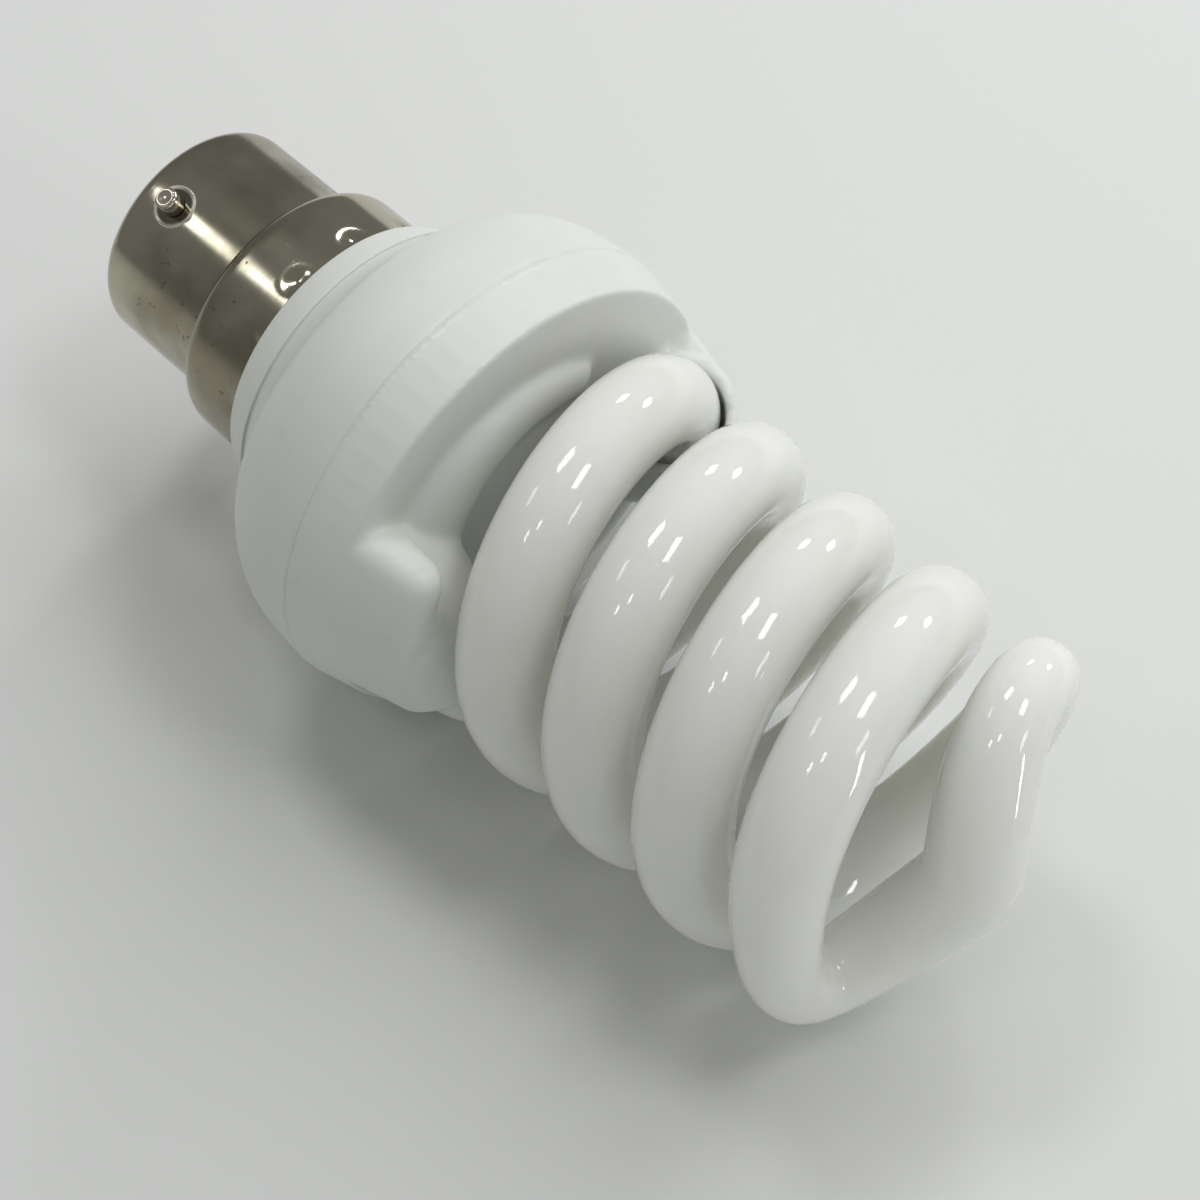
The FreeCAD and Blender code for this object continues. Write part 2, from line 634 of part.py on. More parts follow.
def edges_at(shape, corner):
    """Edges of a shape that end at one of its corners."""
    near = 0.001
    return [edge for edge in shape.Edges if any((end.Point - corner).Length < near for end in edge.Vertexes)]


def hood_wall(strand):
    """Outer wall of a hood: it carries the cover's cone on, and its end and upper edge are rounded."""
    first = number("dims.hood_start")
    last = number("dims.mouth_angle")
    low = number(f"{FACE} - dims.face_wall / 2")
    steps = 12
    sections = []
    corners = []
    for i in range(steps + 1):
        angle = first + (last - first) * i / steps
        high = strand_point(strand, max(angle, number("dims.bend_angle"))).x + number("dims.hood_top")
        turn = math.radians(angle + number("dims.strand_turn") + 180 * strand)
        outward = Vector(0, math.cos(turn), math.sin(turn))
        inner = outward * number(f"{HELIX_R} + dims.hood_round")
        corner = outward * cone_radius(high) + AXIS * high
        corners.append(corner)
        foot = outward * cone_radius(low) + AXIS * low
        outline = [inner + AXIS * low, foot, corner, inner + AXIS * high]
        sections.append(Part.makePolygon(outline + outline[:1]))
    wall = Part.makeLoft(sections, True)
    return wall.makeFillet(number("dims.hood_round"), edges_at(wall, corners[0]))


def ridge(strand):
    """Low broad ridge on the end face, from inside the hood down to its rounded tail."""
    first = number("dims.bend_angle - dims.bend_sweep")
    last = number("dims.ridge_end")
    radius = number(f"{HELIX_R} - dims.ridge_in")
    steps = 14
    tail_steps = 6
    places = []
    for i in range(steps + 1):
        share = i / steps
        places.append((first + (last - first) * share, share, 1.0))
    for i in range(1, tail_steps + 1):
        over = i / (tail_steps + 1)
        places.append((last - number("dims.ridge_tail") * over, 1.0, math.sqrt(1 - over ** 2)))
    sections = []
    for angle, share, shrink in places:
        half = number("dims.ridge_half") + number("dims.ridge_tail_half - dims.ridge_half") * share
        high = number("dims.ridge_high") + number("dims.ridge_tail_high - dims.ridge_high") * share
        turn = math.radians(angle + number("dims.strand_turn") + 180 * strand)
        outward = Vector(0, math.cos(turn), math.sin(turn))
        centre = AXIS * number(FACE) + outward * radius
        section = Part.Ellipse(centre + outward * half * shrink, centre + AXIS * high * shrink, centre)
        sections.append(Part.Wire(section.toShape()))
    return above_face(Part.makeLoft(sections, True))


# Spiral tube: two strands, half a turn apart, joined by a bridge across the axis


def strand_point(strand, angle, radius=None, rise=0.0):
    """Point on a strand's centre line at an angle in degrees."""
    radius = number(HELIX_R) if radius is None else radius
    turn = math.radians(angle + number("dims.strand_turn") + 180 * strand)
    along = number(f"{FACE} + dims.helix_rise") + number("dims.helix_pitch") * angle / 360 + rise
    return Vector(along, radius * math.cos(turn), radius * math.sin(turn))


def strand_heading(strand, angle):
    """Unit direction of a strand, towards the tip."""
    turn = math.radians(angle + number("dims.strand_turn") + 180 * strand)
    around = number(HELIX_R)
    climb = number("dims.helix_pitch") / (2 * math.pi)
    heading = Vector(climb, -around * math.sin(turn), around * math.cos(turn))
    return heading.normalize()


def helix_edge(strand, first, last):
    """Exact helix of one strand between two angles."""
    turns = (last - first) / 360
    pitch = number("dims.helix_pitch")
    wire = Part.makeHelix(pitch, pitch * turns, number(HELIX_R))
    start = strand_point(strand, first)
    upright = Rotation(Vector(0, 0, 1), AXIS)
    lean = upright.multVec(Vector(1, 0, 0))
    wanted = math.atan2(start.z, start.y)
    spin = Rotation(AXIS, math.degrees(wanted - math.atan2(lean.z, lean.y)))
    wire.Placement = Placement(Vector(start.x, 0, 0), spin.multiply(upright))
    return wire.Edges


def entry_path(strand, last):
    """Centre line from a tube end, up round the bend and along the strand to an angle."""
    bend = number("dims.bend_angle")
    reach = number("dims.bend_reach")
    top = strand_point(strand, bend)
    end = strand_point(strand, bend - number("dims.bend_sweep"))
    end.x = number(TUBE_END)
    turn = Part.BezierCurve()
    turn.setPoles([end, end + AXIS * reach, top - strand_heading(strand, bend) * reach, top])
    return Part.Wire([turn.toShape()] + helix_edge(strand, bend, last))


def bridge_curve(strand):
    """Half of the bridge: from the end of a strand to the crossing on the axis."""
    start_angle = number("dims.bridge_angle")
    start = strand_point(strand, start_angle)
    sweep = number("dims.bridge_sweep")
    shoulder = strand_point(strand, start_angle + sweep, number(f"{HELIX_R} + dims.bridge_bulge"))
    shoulder.x = start.x + number("dims.bridge_rise")
    tip = Vector(start.x + number("dims.tip_rise"), 0, 0)
    turn = math.radians(number("dims.tip_heading + dims.strand_turn") + 180 * strand)
    heading = Vector(0, math.cos(turn), math.sin(turn))
    curve = Part.BezierCurve()
    curve.setPoles([
        start,
        start + strand_heading(strand, start_angle) * number("dims.bridge_reach"),
        shoulder,
        tip - heading * number("dims.tip_reach"),
        tip,
    ])
    return curve


def pipe(path, radius):
    """Solid round pipe along a wire."""
    edge = path.OrderedEdges[0]
    start = edge.valueAt(edge.FirstParameter)
    heading = edge.tangentAt(edge.FirstParameter)
    section = Part.Wire(Part.makeCircle(radius, start, heading))
    return path.makePipeShell([section], True, False)


def bridge_solid(join_angle):
    """Bridge lofted through circles along its centre line, narrowed in the two end turns."""
    points = []
    helix_steps = 5
    curve_steps = 14
    bridge_angle = number("dims.bridge_angle")
    curve = bridge_curve(0)
    for i in range(helix_steps):
        angle = join_angle + (bridge_angle - join_angle) * i / helix_steps
        points.append((strand_point(0, angle), strand_heading(0, angle)))
    for i in range(curve_steps + 1):
        at = i / curve_steps
        points.append((curve.value(at), curve.tangent(at)[0]))
    lengths = [0.0]
    for (a, _), (b, _) in zip(points[::-1], points[-2::-1]):
        lengths.append(lengths[-1] + a.distanceToPoint(b))
    lengths.reverse()
    stations = [(point, heading, length) for (point, heading), length in zip(points, lengths)]
    half_turn = Rotation(AXIS, 180)
    for point, heading, length in stations[-2::-1]:
        stations.append((half_turn.multVec(point), half_turn.multVec(heading) * -1, length))
    sections = []
    across = Vector(1, 0, 0)
    for point, heading, length in stations:
        across = across - heading * across.dot(heading)
        across.normalize()
        gap = (length - number("dims.pinch_from_tip")) / number("dims.pinch_len")
        size = number("dims.tube_r") * (1 - number("dims.pinch") * math.exp(-gap ** 2))
        circle = Part.Circle(point, heading, size)
        circle.XAxis = across
        sections.append(Part.Wire(circle.toShape()))
    return Part.makeLoft(sections, True)


def spiral_tube():
    join_angle = number("dims.bridge_angle - dims.bridge_lead")
    pieces = [plain_feature("tube_bridge", bridge_solid(join_angle))]
    for strand in (0, 1):
        shape = pipe(entry_path(strand, join_angle), number("dims.tube_r"))
        pieces.append(plain_feature(f"tube_strand_{strand}", shape))
    whole = doc.addObject("Part::MultiFuse", "tube_whole")
    whole.Shapes = pieces
    keep(whole, "spiral_tube")


def tube_cement():
    """Cement that holds each tube end behind the end face."""
    for strand in (0, 1):
        name = f"tube_cement_{strand + 1}"
        end = strand_point(strand, number("dims.bend_angle - dims.bend_sweep"))
        back = number(f"{FACE} - dims.face_wall - dims.cement_len")
        disc = doc.addObject("Part::Cylinder", f"{name}_disc")
        disc.setExpression("Radius", "dims.cement_r")
        disc.setExpression("Height", "dims.cement_len")
        disc.Placement = Placement(Vector(back, end.y, end.z), Rotation(Vector(0, 1, 0), 90))
        root = pipe(entry_path(strand, number("dims.mouth_angle")), number("dims.tube_r"))
        cut = doc.addObject("Part::Cut", f"{name}_cut")
        cut.Base = disc
        cut.Tool = plain_feature(f"{name}_root", root)
        keep(cut, name)


# Circuit board and its components

# Component heights grow away from the board, towards the cap
BOARD_FRAME = Rotation(Vector(0, 1, 0), Vector(0, 0, -1), Vector(-1, 0, 0), "ZXY")


def on_board(body, spot):
    spin = Rotation(Vector(0, 0, 1), number(f"dims.{spot}_turn"))
    body.Placement = Placement(Vector(), BOARD_FRAME.multiply(spin))
    body.setExpression("Placement.Base.x", BOARD)
    body.setExpression("Placement.Base.y", f"dims.{spot}_y")
    body.setExpression("Placement.Base.z", f"dims.{spot}_z")


def stand_up(body, spot):
    """Place a body of revolution upright on the board."""
    upright = Rotation(Vector(0, 1, 0), -90)
    body.Placement = Placement(Vector(), BOARD_FRAME.multiply(upright))
    body.setExpression("Placement.Base.x", BOARD)
    body.setExpression("Placement.Base.y", f"dims.{spot}_y")
    body.setExpression("Placement.Base.z", f"dims.{spot}_z")


def circuit_board():
    disc = doc.addObject("Part::Cylinder", "board_disc")
    disc.setExpression("Radius", BOARD_R)
    disc.setExpression("Height", "dims.board_len")
    disc.Placement = Placement(Vector(), Rotation(Vector(0, 1, 0), 90))
    disc.setExpression("Placement.Base.x", BOARD)
    keep(disc, "circuit_board")


def bulk_capacitor():
    body = new_body("bulk_capacitor")
    low = "(dims.bulk_crimp_at - dims.bulk_crimp_len)"
    high = "(dims.bulk_crimp_at + dims.bulk_crimp_len)"
    corners = [
        ("0", "0"),
        ("0", "dims.bulk_r"),
        (low, "dims.bulk_r"),
        ("dims.bulk_crimp_at", "dims.bulk_r - dims.bulk_crimp"),
        (high, "dims.bulk_r"),
        ("dims.bulk_len - dims.bulk_round", "dims.bulk_r"),
        ("dims.bulk_len", "dims.bulk_r - dims.bulk_round"),
        ("dims.bulk_len", "0"),
    ]
    revolve(body, "bulk_can", corners, {5: (-1, "dims.bulk_round")})
    stand_up(body, "bulk_capacitor")
    keep(body, "bulk_capacitor")


def choke():
    """Core in two halves round a bobbin that carries the winding."""
    window = "(dims.core_half - dims.core_leg)"
    inner = "(dims.core_width - 2 * dims.core_leg)"
    for name, base, floor in (
        ("choke_core_lower", "dims.coil_base", "dims.coil_base + dims.core_leg"),
        ("choke_core_upper", "dims.coil_base + dims.core_half", "dims.coil_base + dims.core_half"),
    ):
        body = new_body(name)
        size = ("dims.core_width", "dims.core_depth", "dims.core_half")
        block(body, f"{name}_block", size, ("0", "0", base))
        for index, side in enumerate(("", "-"), start=1):
            width = f"({inner} - dims.core_mid) / 2"
            middle = f"{side}(dims.core_mid / 2 + ({width}) / 2)"
            slot = (width, "2 * dims.core_depth", window)
            block(body, f"{name}_slot_{index}", slot, (middle, "0", floor), "SubtractiveBox")
        on_board(body, "choke")
        keep(body, name)
    body = new_body("choke_bobbin")
    sleeve_long = "(dims.core_mid + 2 * dims.coil_gap + 2 * dims.coil_wall)"
    sleeve_wide = "(dims.core_depth + 2 * dims.coil_gap + 2 * dims.coil_wall)"
    flange_long = f"({inner} - 2 * dims.coil_gap)"
    flange_wide = f"({sleeve_wide} + dims.core_mid / 2)"
    low = "(dims.coil_base + dims.core_leg + dims.coil_gap)"
    tall = f"(2 * {window} - 2 * dims.coil_gap)"
    block(body, "bobbin_sleeve", (sleeve_long, sleeve_wide, tall), ("0", "0", low))
    flange = (flange_long, flange_wide, "dims.coil_wall")
    block(body, "bobbin_low_flange", flange, ("0", "0", low))
    block(body, "bobbin_high_flange", flange, ("0", "0", f"{low} + {tall} - dims.coil_wall"))
    hole_long = "dims.core_mid + 2 * dims.coil_gap"
    hole_wide = "dims.core_depth + 2 * dims.coil_gap"
    block(body, "bobbin_hole", (hole_long, hole_wide, f"2 * {tall}"), ("0", "0", "0"), "SubtractiveBox")
    side = "dims.core_depth / 2 + dims.coil_gap + dims.coil_wall / 2"
    foot = ("dims.core_mid", "dims.coil_wall", f"{low} + dims.coil_wall")
    block(body, "bobbin_foot_1", foot, ("0", f"({side})", "0"))
    block(body, "bobbin_foot_2", foot, ("0", f"-({side})", "0"))
    seat = ("dims.core_width", "dims.core_depth + 2 * dims.coil_gap + 2 * dims.coil_wall", "dims.coil_base")
    block(body, "bobbin_seat", seat, ("0", "0", "0"))
    on_board(body, "choke")
    keep(body, "choke_bobbin")
    body = new_body("choke_winding")
    coil = (
        f"{flange_long} - 2 * dims.coil_gap",
        f"{flange_wide} - 2 * dims.coil_gap",
        f"{tall} - 2 * dims.coil_wall",
    )
    start = f"{low} + dims.coil_wall"
    block(body, "winding_block", coil, ("0", "0", start))
    hole = (sleeve_long, sleeve_wide, f"2 * {tall}")
    block(body, "winding_hole", hole, ("0", "0", "0"), "SubtractiveBox")
    on_board(body, "choke")
    keep(body, "choke_winding")


def drive_transformer():
    """Ring core with its short windings."""
    lift = "dims.ring_wire"
    core = [
        (lift, "dims.ring_core_in"),
        (f"{lift} + dims.ring_core_len", "dims.ring_core_in"),
        (f"{lift} + dims.ring_core_len", "dims.ring_core_r"),
        (lift, "dims.ring_core_r"),
    ]
    body = new_body("drive_core")
    revolve(body, "drive_ring", core)
    stand_up(body, "drive")
    keep(body, "drive_core")
    wire = "dims.ring_wire"
    count = int(number("dims.ring_coils"))
    for index in range(count):
        name = f"drive_winding_{index + 1}"
        body = new_body(name)
        turns = [
            ("0", f"dims.ring_core_in - {wire}"),
            (f"2 * {wire} + dims.ring_core_len", f"dims.ring_core_in - {wire}"),
            (f"2 * {wire} + dims.ring_core_len", f"dims.ring_core_r + {wire}"),
            ("0", f"dims.ring_core_r + {wire}"),
        ]
        sleeve = revolve(body, f"{name}_sleeve", turns)
        sleeve.setExpression("Angle", "dims.ring_coil_angle")
        hollow = body.newObject("PartDesign::Groove", f"{name}_hollow")
        hollow.Profile = outline_sketch(body, f"{name}_hollow_outline", core)
        hollow.ReferenceAxis = (hollow.Profile[0], ["H_Axis"])
        hollow.Angle = 360
        doc.recompute()
        stand_up(body, "drive")
        spin = Rotation(Vector(1, 0, 0), 360 / count * index)
        body.Placement = Placement(body.Placement.Base, body.Placement.Rotation.multiply(spin))
        keep(body, name)


def filter_choke():
    """Drum core with its winding."""
    body = new_body("filter_core")
    top = "(dims.drum_len - dims.drum_flange)"
    corners = [
        ("0", "0"),
        ("0", "dims.drum_r"),
        ("dims.drum_flange", "dims.drum_r"),
        ("dims.drum_flange", "dims.drum_mid_r"),
        (top, "dims.drum_mid_r"),
        (top, "dims.drum_r"),
        ("dims.drum_len", "dims.drum_r"),
        ("dims.drum_len", "0"),
    ]
    revolve(body, "filter_drum", corners)
    stand_up(body, "filter")
    keep(body, "filter_core")
    body = new_body("filter_winding")
    coil = [
        ("dims.drum_flange", "dims.drum_mid_r"),
        (top, "dims.drum_mid_r"),
        (top, "dims.drum_coil_r"),
        ("dims.drum_flange", "dims.drum_coil_r"),
    ]
    revolve(body, "filter_coil", coil)
    stand_up(body, "filter")
    keep(body, "filter_winding")


def transistor(name):
    """Half-round case on three legs."""
    body = new_body(name)
    rod(body, f"{name}_case", "dims.switch_r", "dims.switch_len", ("0", "0", "dims.switch_leg_len"))
    flat = ("4 * dims.switch_r", "2 * dims.switch_r", "2 * dims.switch_len")
    centre = ("0", "-(dims.switch_flat + dims.switch_r)", "dims.switch_leg_len / 2")
    block(body, f"{name}_flat", flat, centre, "SubtractiveBox")
    for index, side in enumerate(("-1", "0", "1"), start=1):
        leg = ("dims.switch_leg", "dims.switch_leg", "dims.switch_leg_len")
        block(body, f"{name}_leg_{index}", leg, (f"{side} * dims.switch_leg_step", "0", "0"))
    on_board(body, name)
    keep(body, name)


def film_capacitor(name):
    """Dipped box that stands on the board."""
    size = name.split("_")[0]
    body = new_body(name)
    case = (f"dims.{size}_long", f"dims.{size}_wide", f"dims.{size}_tall")
    box = block(body, f"{name}_case", case, ("0", "0", "0"))
    doc.recompute()
    upright = [
        f"Edge{i}"
        for i, edge in enumerate(box.Shape.Edges, start=1)
        if abs(edge.tangentAt(edge.FirstParameter).z) > 0.9
    ]
    rounding = body.newObject("PartDesign::Fillet", f"{name}_rounding")
    rounding.Base = (box, upright)
    rounding.setExpression("Radius", "dims.film_round")
    on_board(body, name)
    keep(body, name)


def axial_component(name, size):
    """Lying cylinder on a wire whose two ends are bent down to the board."""
    body = new_body(name)
    lying = Rotation(Vector(0, 1, 0), 90)
    height = f"(dims.{size}_r + dims.axial_lift)"
    case = (f"-dims.{size}_len / 2", "0", height)
    rod(body, f"{name}_case", f"dims.{size}_r", f"dims.{size}_len", case, lying)
    half = f"(dims.{size}_span / 2)"
    section = new_sketch(body, f"{name}_section", "XY_Plane")
    leg_end = Part.Circle(Vector(-number(half), 0, 0), Vector(0, 0, 1), number("dims.leg_r"))
    section.addGeometry(leg_end, False)
    bind(section, f"-{half}", "DistanceX", -1, 1, 0, 3)
    bind(section, "0", "DistanceY", -1, 1, 0, 3)
    bind(section, "dims.leg_r", "Radius", 0)
    run = [
        (f"-{half}", "0"),
        (f"-{half}", f"{height} - dims.leg_bend"),
        (f"dims.leg_bend - {half}", height),
        (f"{half} - dims.leg_bend", height),
        (half, f"{height} - dims.leg_bend"),
        (half, "0"),
    ]
    bends = {1: (-1, "dims.leg_bend"), 3: (-1, "dims.leg_bend")}
    wire = outline_sketch(body, f"{name}_run", run, bends, "XZ_Plane", False)
    legs = body.newObject("PartDesign::AdditivePipe", f"{name}_legs")
    legs.Profile = section
    legs.Spine = (wire, [])
    on_board(body, name)
    keep(body, name)


def tube_connections():
    """Wrap posts on the back of the board, and the wires that come down to them from the tube."""
    for strand in (0, 1):
        end = strand_point(strand, number("dims.bend_angle - dims.bend_sweep"))
        outward = Vector(0, end.y, end.z).normalize()
        around = AXIS.cross(outward)
        for side in (-1, 1):
            index = 2 * strand + (side + 3) // 2
            post_at = around * (side * number("dims.post_off"))
            base = Vector(number(BOARD_BACK), end.y, end.z) + post_at
            half = number("dims.post_side") / 2
            corner = base - outward * half - around * half
            post = doc.addObject("Part::Box", f"wrap_post_{index}_box")
            post.setExpression("Length", "dims.post_side")
            post.setExpression("Width", "dims.post_side")
            post.setExpression("Height", "dims.post_len")
            post.Placement = Placement(corner, Rotation(outward, around, AXIS, "ZXY"))
            keep(post, f"wrap_post_{index}")
            wire_off = number("dims.post_off - dims.post_side / 2 - dims.wire_r")
            wire_at = Vector(number(BOARD_BACK), end.y, end.z) + around * (side * wire_off)
            wire = doc.addObject("Part::Cylinder", f"tube_lead_{index}_wire")
            wire.setExpression("Radius", "dims.wire_r")
            wire.setExpression("Height", f"{TUBE_END} - {BOARD_BACK}")
            wire.Placement = Placement(wire_at, Rotation(Vector(0, 1, 0), 90))
            keep(wire, f"tube_lead_{index}")


def supply_leads():
    """Insulated leads from the contacts, through the cap, to the board."""
    start = number(f"{RIM} - dims.insulator_rise")
    slant = start + number("dims.lead_run")
    inner = number("dims.contact_off")
    outer = number(LEAD_OFF)
    route = [
        Vector(start, inner, 0),
        Vector(slant, inner, 0),
        Vector(slant + number("dims.lead_slant"), outer, 0),
        Vector(number(BOARD), outer, 0),
    ]
    for index, angle in enumerate((0, 180), start=1):
        spin = turned(angle).Rotation
        path = rounded_path([spin.multVec(point) for point in route], number("dims.lead_bend"))
        feature = plain_feature(f"supply_lead_{index}_wire", pipe(path, number("dims.lead_r")))
        keep(feature, f"supply_lead_{index}")


def rounded_path(points, radius):
    """Straight runs through the points, with a tangent arc at each bend."""
    edges = []
    last = points[0]
    for before, corner, after in zip(points, points[1:], points[2:]):
        back = (before - corner).normalize()
        ahead = (after - corner).normalize()
        half = back.getAngle(ahead) / 2
        trim = radius / math.tan(half)
        start = corner + back * trim
        end = corner + ahead * trim
        middle = corner + (back + ahead).normalize() * (radius / math.sin(half) - radius)
        edges.append(Part.LineSegment(last, start).toShape())
        edges.append(Part.Arc(start, middle, end).toShape())
        last = end
    edges.append(Part.LineSegment(last, points[-1]).toShape())
    return Part.Wire(edges)


def write_parts():
    """Check every object, then write each sub-part to its own file."""
    doc.recompute()
    for item in doc.Objects:
        if "Invalid" in item.State or "Error" in item.State:
            raise RuntimeError(f"{item.Name} did not build: {item.State}")
    for item in sub_parts:
        if item.Shape.isNull() or not item.Shape.isValid():
            raise RuntimeError(f"{item.Label} has no valid shape")
    os.makedirs("parts", exist_ok=True)
    for item in sub_parts:
        item.Shape.exportStep(f"parts/{item.Label}.step")
        print(f"{item.Label}: {len(item.Shape.Solids)} solid, {item.Shape.Volume:.1f} mm3")


cap_shell()
bayonet_pins()
cap_insulator()
contacts()
upper_housing()
tube_cover()
spiral_tube()
tube_cement()
circuit_board()
bulk_capacitor()
choke()
drive_transformer()
filter_choke()
for part_name in ("transistor_1", "transistor_2"):
    transistor(part_name)
for part_name in ("resonant_capacitor", "start_capacitor", "blocking_capacitor"):
    film_capacitor(part_name)
for part_index in range(1, 5):
    axial_component(f"rectifier_diode_{part_index}", "diode")
for part_index in range(1, 4):
    axial_component(f"resistor_{part_index}", "resistor")
axial_component("diac", "diac")
axial_component("fuse_resistor", "fuse")
tube_connections()
supply_leads()
write_parts()
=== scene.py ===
import json
import math

import bpy
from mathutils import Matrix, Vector


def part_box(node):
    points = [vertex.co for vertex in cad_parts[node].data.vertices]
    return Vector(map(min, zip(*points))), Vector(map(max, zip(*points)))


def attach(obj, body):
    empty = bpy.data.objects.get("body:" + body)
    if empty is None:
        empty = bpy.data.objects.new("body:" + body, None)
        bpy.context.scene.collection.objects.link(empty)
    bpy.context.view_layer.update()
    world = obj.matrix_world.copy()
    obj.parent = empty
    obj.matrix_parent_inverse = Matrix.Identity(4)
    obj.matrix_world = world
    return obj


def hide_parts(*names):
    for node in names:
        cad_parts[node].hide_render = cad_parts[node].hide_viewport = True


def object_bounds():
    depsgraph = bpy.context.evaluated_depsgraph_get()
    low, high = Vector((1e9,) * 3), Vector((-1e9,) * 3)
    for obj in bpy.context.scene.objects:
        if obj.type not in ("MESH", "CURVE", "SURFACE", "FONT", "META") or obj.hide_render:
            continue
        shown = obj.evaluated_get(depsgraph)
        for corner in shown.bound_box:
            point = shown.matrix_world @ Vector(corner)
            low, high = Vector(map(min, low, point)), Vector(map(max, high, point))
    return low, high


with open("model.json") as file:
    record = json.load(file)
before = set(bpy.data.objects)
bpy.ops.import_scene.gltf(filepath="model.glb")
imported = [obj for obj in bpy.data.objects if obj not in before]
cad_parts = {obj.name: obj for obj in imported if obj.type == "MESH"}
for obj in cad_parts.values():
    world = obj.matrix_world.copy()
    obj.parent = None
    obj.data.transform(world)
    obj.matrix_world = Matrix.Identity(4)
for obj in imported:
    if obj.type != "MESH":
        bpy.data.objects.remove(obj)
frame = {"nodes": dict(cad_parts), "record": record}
CAD_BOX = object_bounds()

bl_info = {
    "name": "Spiral energy saving bulb",
    "version": (1, 0, 0),
    "blender": (4, 5, 0),
    "location": "View3D > Sidebar > Bulb",
    "description": "Plated cap, moulded housing, hooded cover and glass spiral on the packed solids",
    "category": "Mesh",
}

MM = 0.001
TURN = 2 * math.pi
DIAGONAL = 0.707
WELD = 0.002 * MM
CAP_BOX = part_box("cap_shell")
HOUSING_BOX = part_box("upper_housing")
INSULATOR_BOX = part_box("cap_insulator")


def length(name, description, default):
    """Property that holds a length in metres."""
    return bpy.props.FloatProperty(
        name=name, description=description, default=default, precision=5, unit="LENGTH", subtype="DISTANCE"
    )


def angle(name, description, degrees):
    """Property that holds an angle."""
    return bpy.props.FloatProperty(
        name=name, description=description, default=math.radians(degrees), unit="ROTATION", subtype="ANGLE"
    )


def count(name, description, default):
    """Property that holds a whole number."""
    return bpy.props.IntProperty(name=name, description=description, default=default, min=1)


def colour(name, description, default):
    """Property that holds a colour."""
    return bpy.props.FloatVectorProperty(
        name=name, description=description, default=default, size=3, min=0.0, max=1.0, subtype="COLOR"
    )


def position(name, description, millimetres):
    """Property that holds a point of the lamp's frame."""
    return bpy.props.FloatVectorProperty(
        name=name,
        description=description,
        default=[MM * part for part in millimetres],
        size=3,
        precision=5,
        unit="LENGTH",
        subtype="TRANSLATION",
    )


class CapSizes(bpy.types.PropertyGroup):
    """Sizes of the bayonet cap."""

    rim: length("Rim", "Station of the cap's open rim", CAP_BOX[0].x)
    end: length("End", "Station of the skirt's end beside the housing", CAP_BOX[1].x)
    step: length("Step", "Station of the step from shell to skirt", 9.7 * MM)
    step_fillet: length("Step fillet", "Hollow rounding at the foot of the step", 0.6 * MM)
    step_bead: length("Step bead", "Rounding of the step's outer edge", 1.3 * MM)
    shell_radius: length("Shell radius", "Outside radius of the narrow part", 11.0 * MM)
    skirt_radius: length("Skirt radius", "Outside radius of the wide part", 13.0 * MM)
    wall: length("Wall", "Thickness of the sheet", 0.4 * MM)
    rim_round: length("Rim rounding", "Rounding where the sheet turns in at the rim", 0.9 * MM)
    rim_return: length("Rim return", "How far the sheet turns in at the rim", 1.6 * MM)
    lip: length("Lip", "Flare of the skirt's end", 0.25 * MM)
    turn: angle("Turn", "Turn of the pins about the lamp's axis", 24.0)
    pin_radius: length("Pin radius", "Radius of a bayonet pin", 1.1 * MM)
    pin_reach: length("Pin reach", "Distance of a pin's top from the axis", 13.45 * MM)
    pin_root: length("Pin root", "How deep a pin goes into the shell", 1.1 * MM)
    pin_neck: length("Pin neck", "Radius of a pin below its head", 0.9 * MM)
    pin_edge: length("Pin edge", "Rounding of a pin's top", 0.3 * MM)
    pin_dimple: length("Pin dimple", "Depth of the rivet's dimple in a pin's top", 0.1 * MM)
    ring_radius: length("Pin ring radius", "Outside radius of the raised ring round a pin", 2.2 * MM)
    ring_rise: length("Pin ring rise", "Height of the raised ring", 0.34 * MM)
    ring_bead: length("Pin ring bead", "Half the width of the ring's bead", 0.2 * MM)
    seat_depth: length("Pin seat depth", "Depth of a pin's flat seat inside the bead", 0.18 * MM)
    dents: count("Dents", "Number of staking dents", 12)
    dent_station: length("Dent station", "Station of the staking dents", 16.6 * MM)
    dent_depth: length("Dent depth", "Depth of a staking dent", 0.4 * MM)
    dent_width: length("Dent width", "Radius over which a dent fades out", 1.9 * MM)
    dent_turn: angle("Dent turn", "Turn of the first dent from the pins' line", 22.0)
    insulator_gap: length("Insulator gap", "Clearance of the insulator in the rim", 0.15 * MM)
    insulator_edge: length("Insulator edge", "Rounding of the insulator's front", 0.5 * MM)
    insulator_ledge: length("Insulator ledge", "Distance of its wide part from the rim", 0.55 * MM)
    contact_offset: length("Contact offset", "Distance of a contact from the axis", 4.3 * MM)
    contact_radius: length("Contact radius", "Radius of a contact plate", 2.4 * MM)
    contact_plate: length("Contact plate", "Thickness of a contact plate", 0.5 * MM)
    contact_edge: length("Contact edge", "Chamfer of a contact plate", 0.1 * MM)
    dome_radius: length("Dome radius", "Radius of the solder on a contact", 1.9 * MM)
    dome_rise: length("Dome rise", "Height of the solder on a contact", 0.7 * MM)


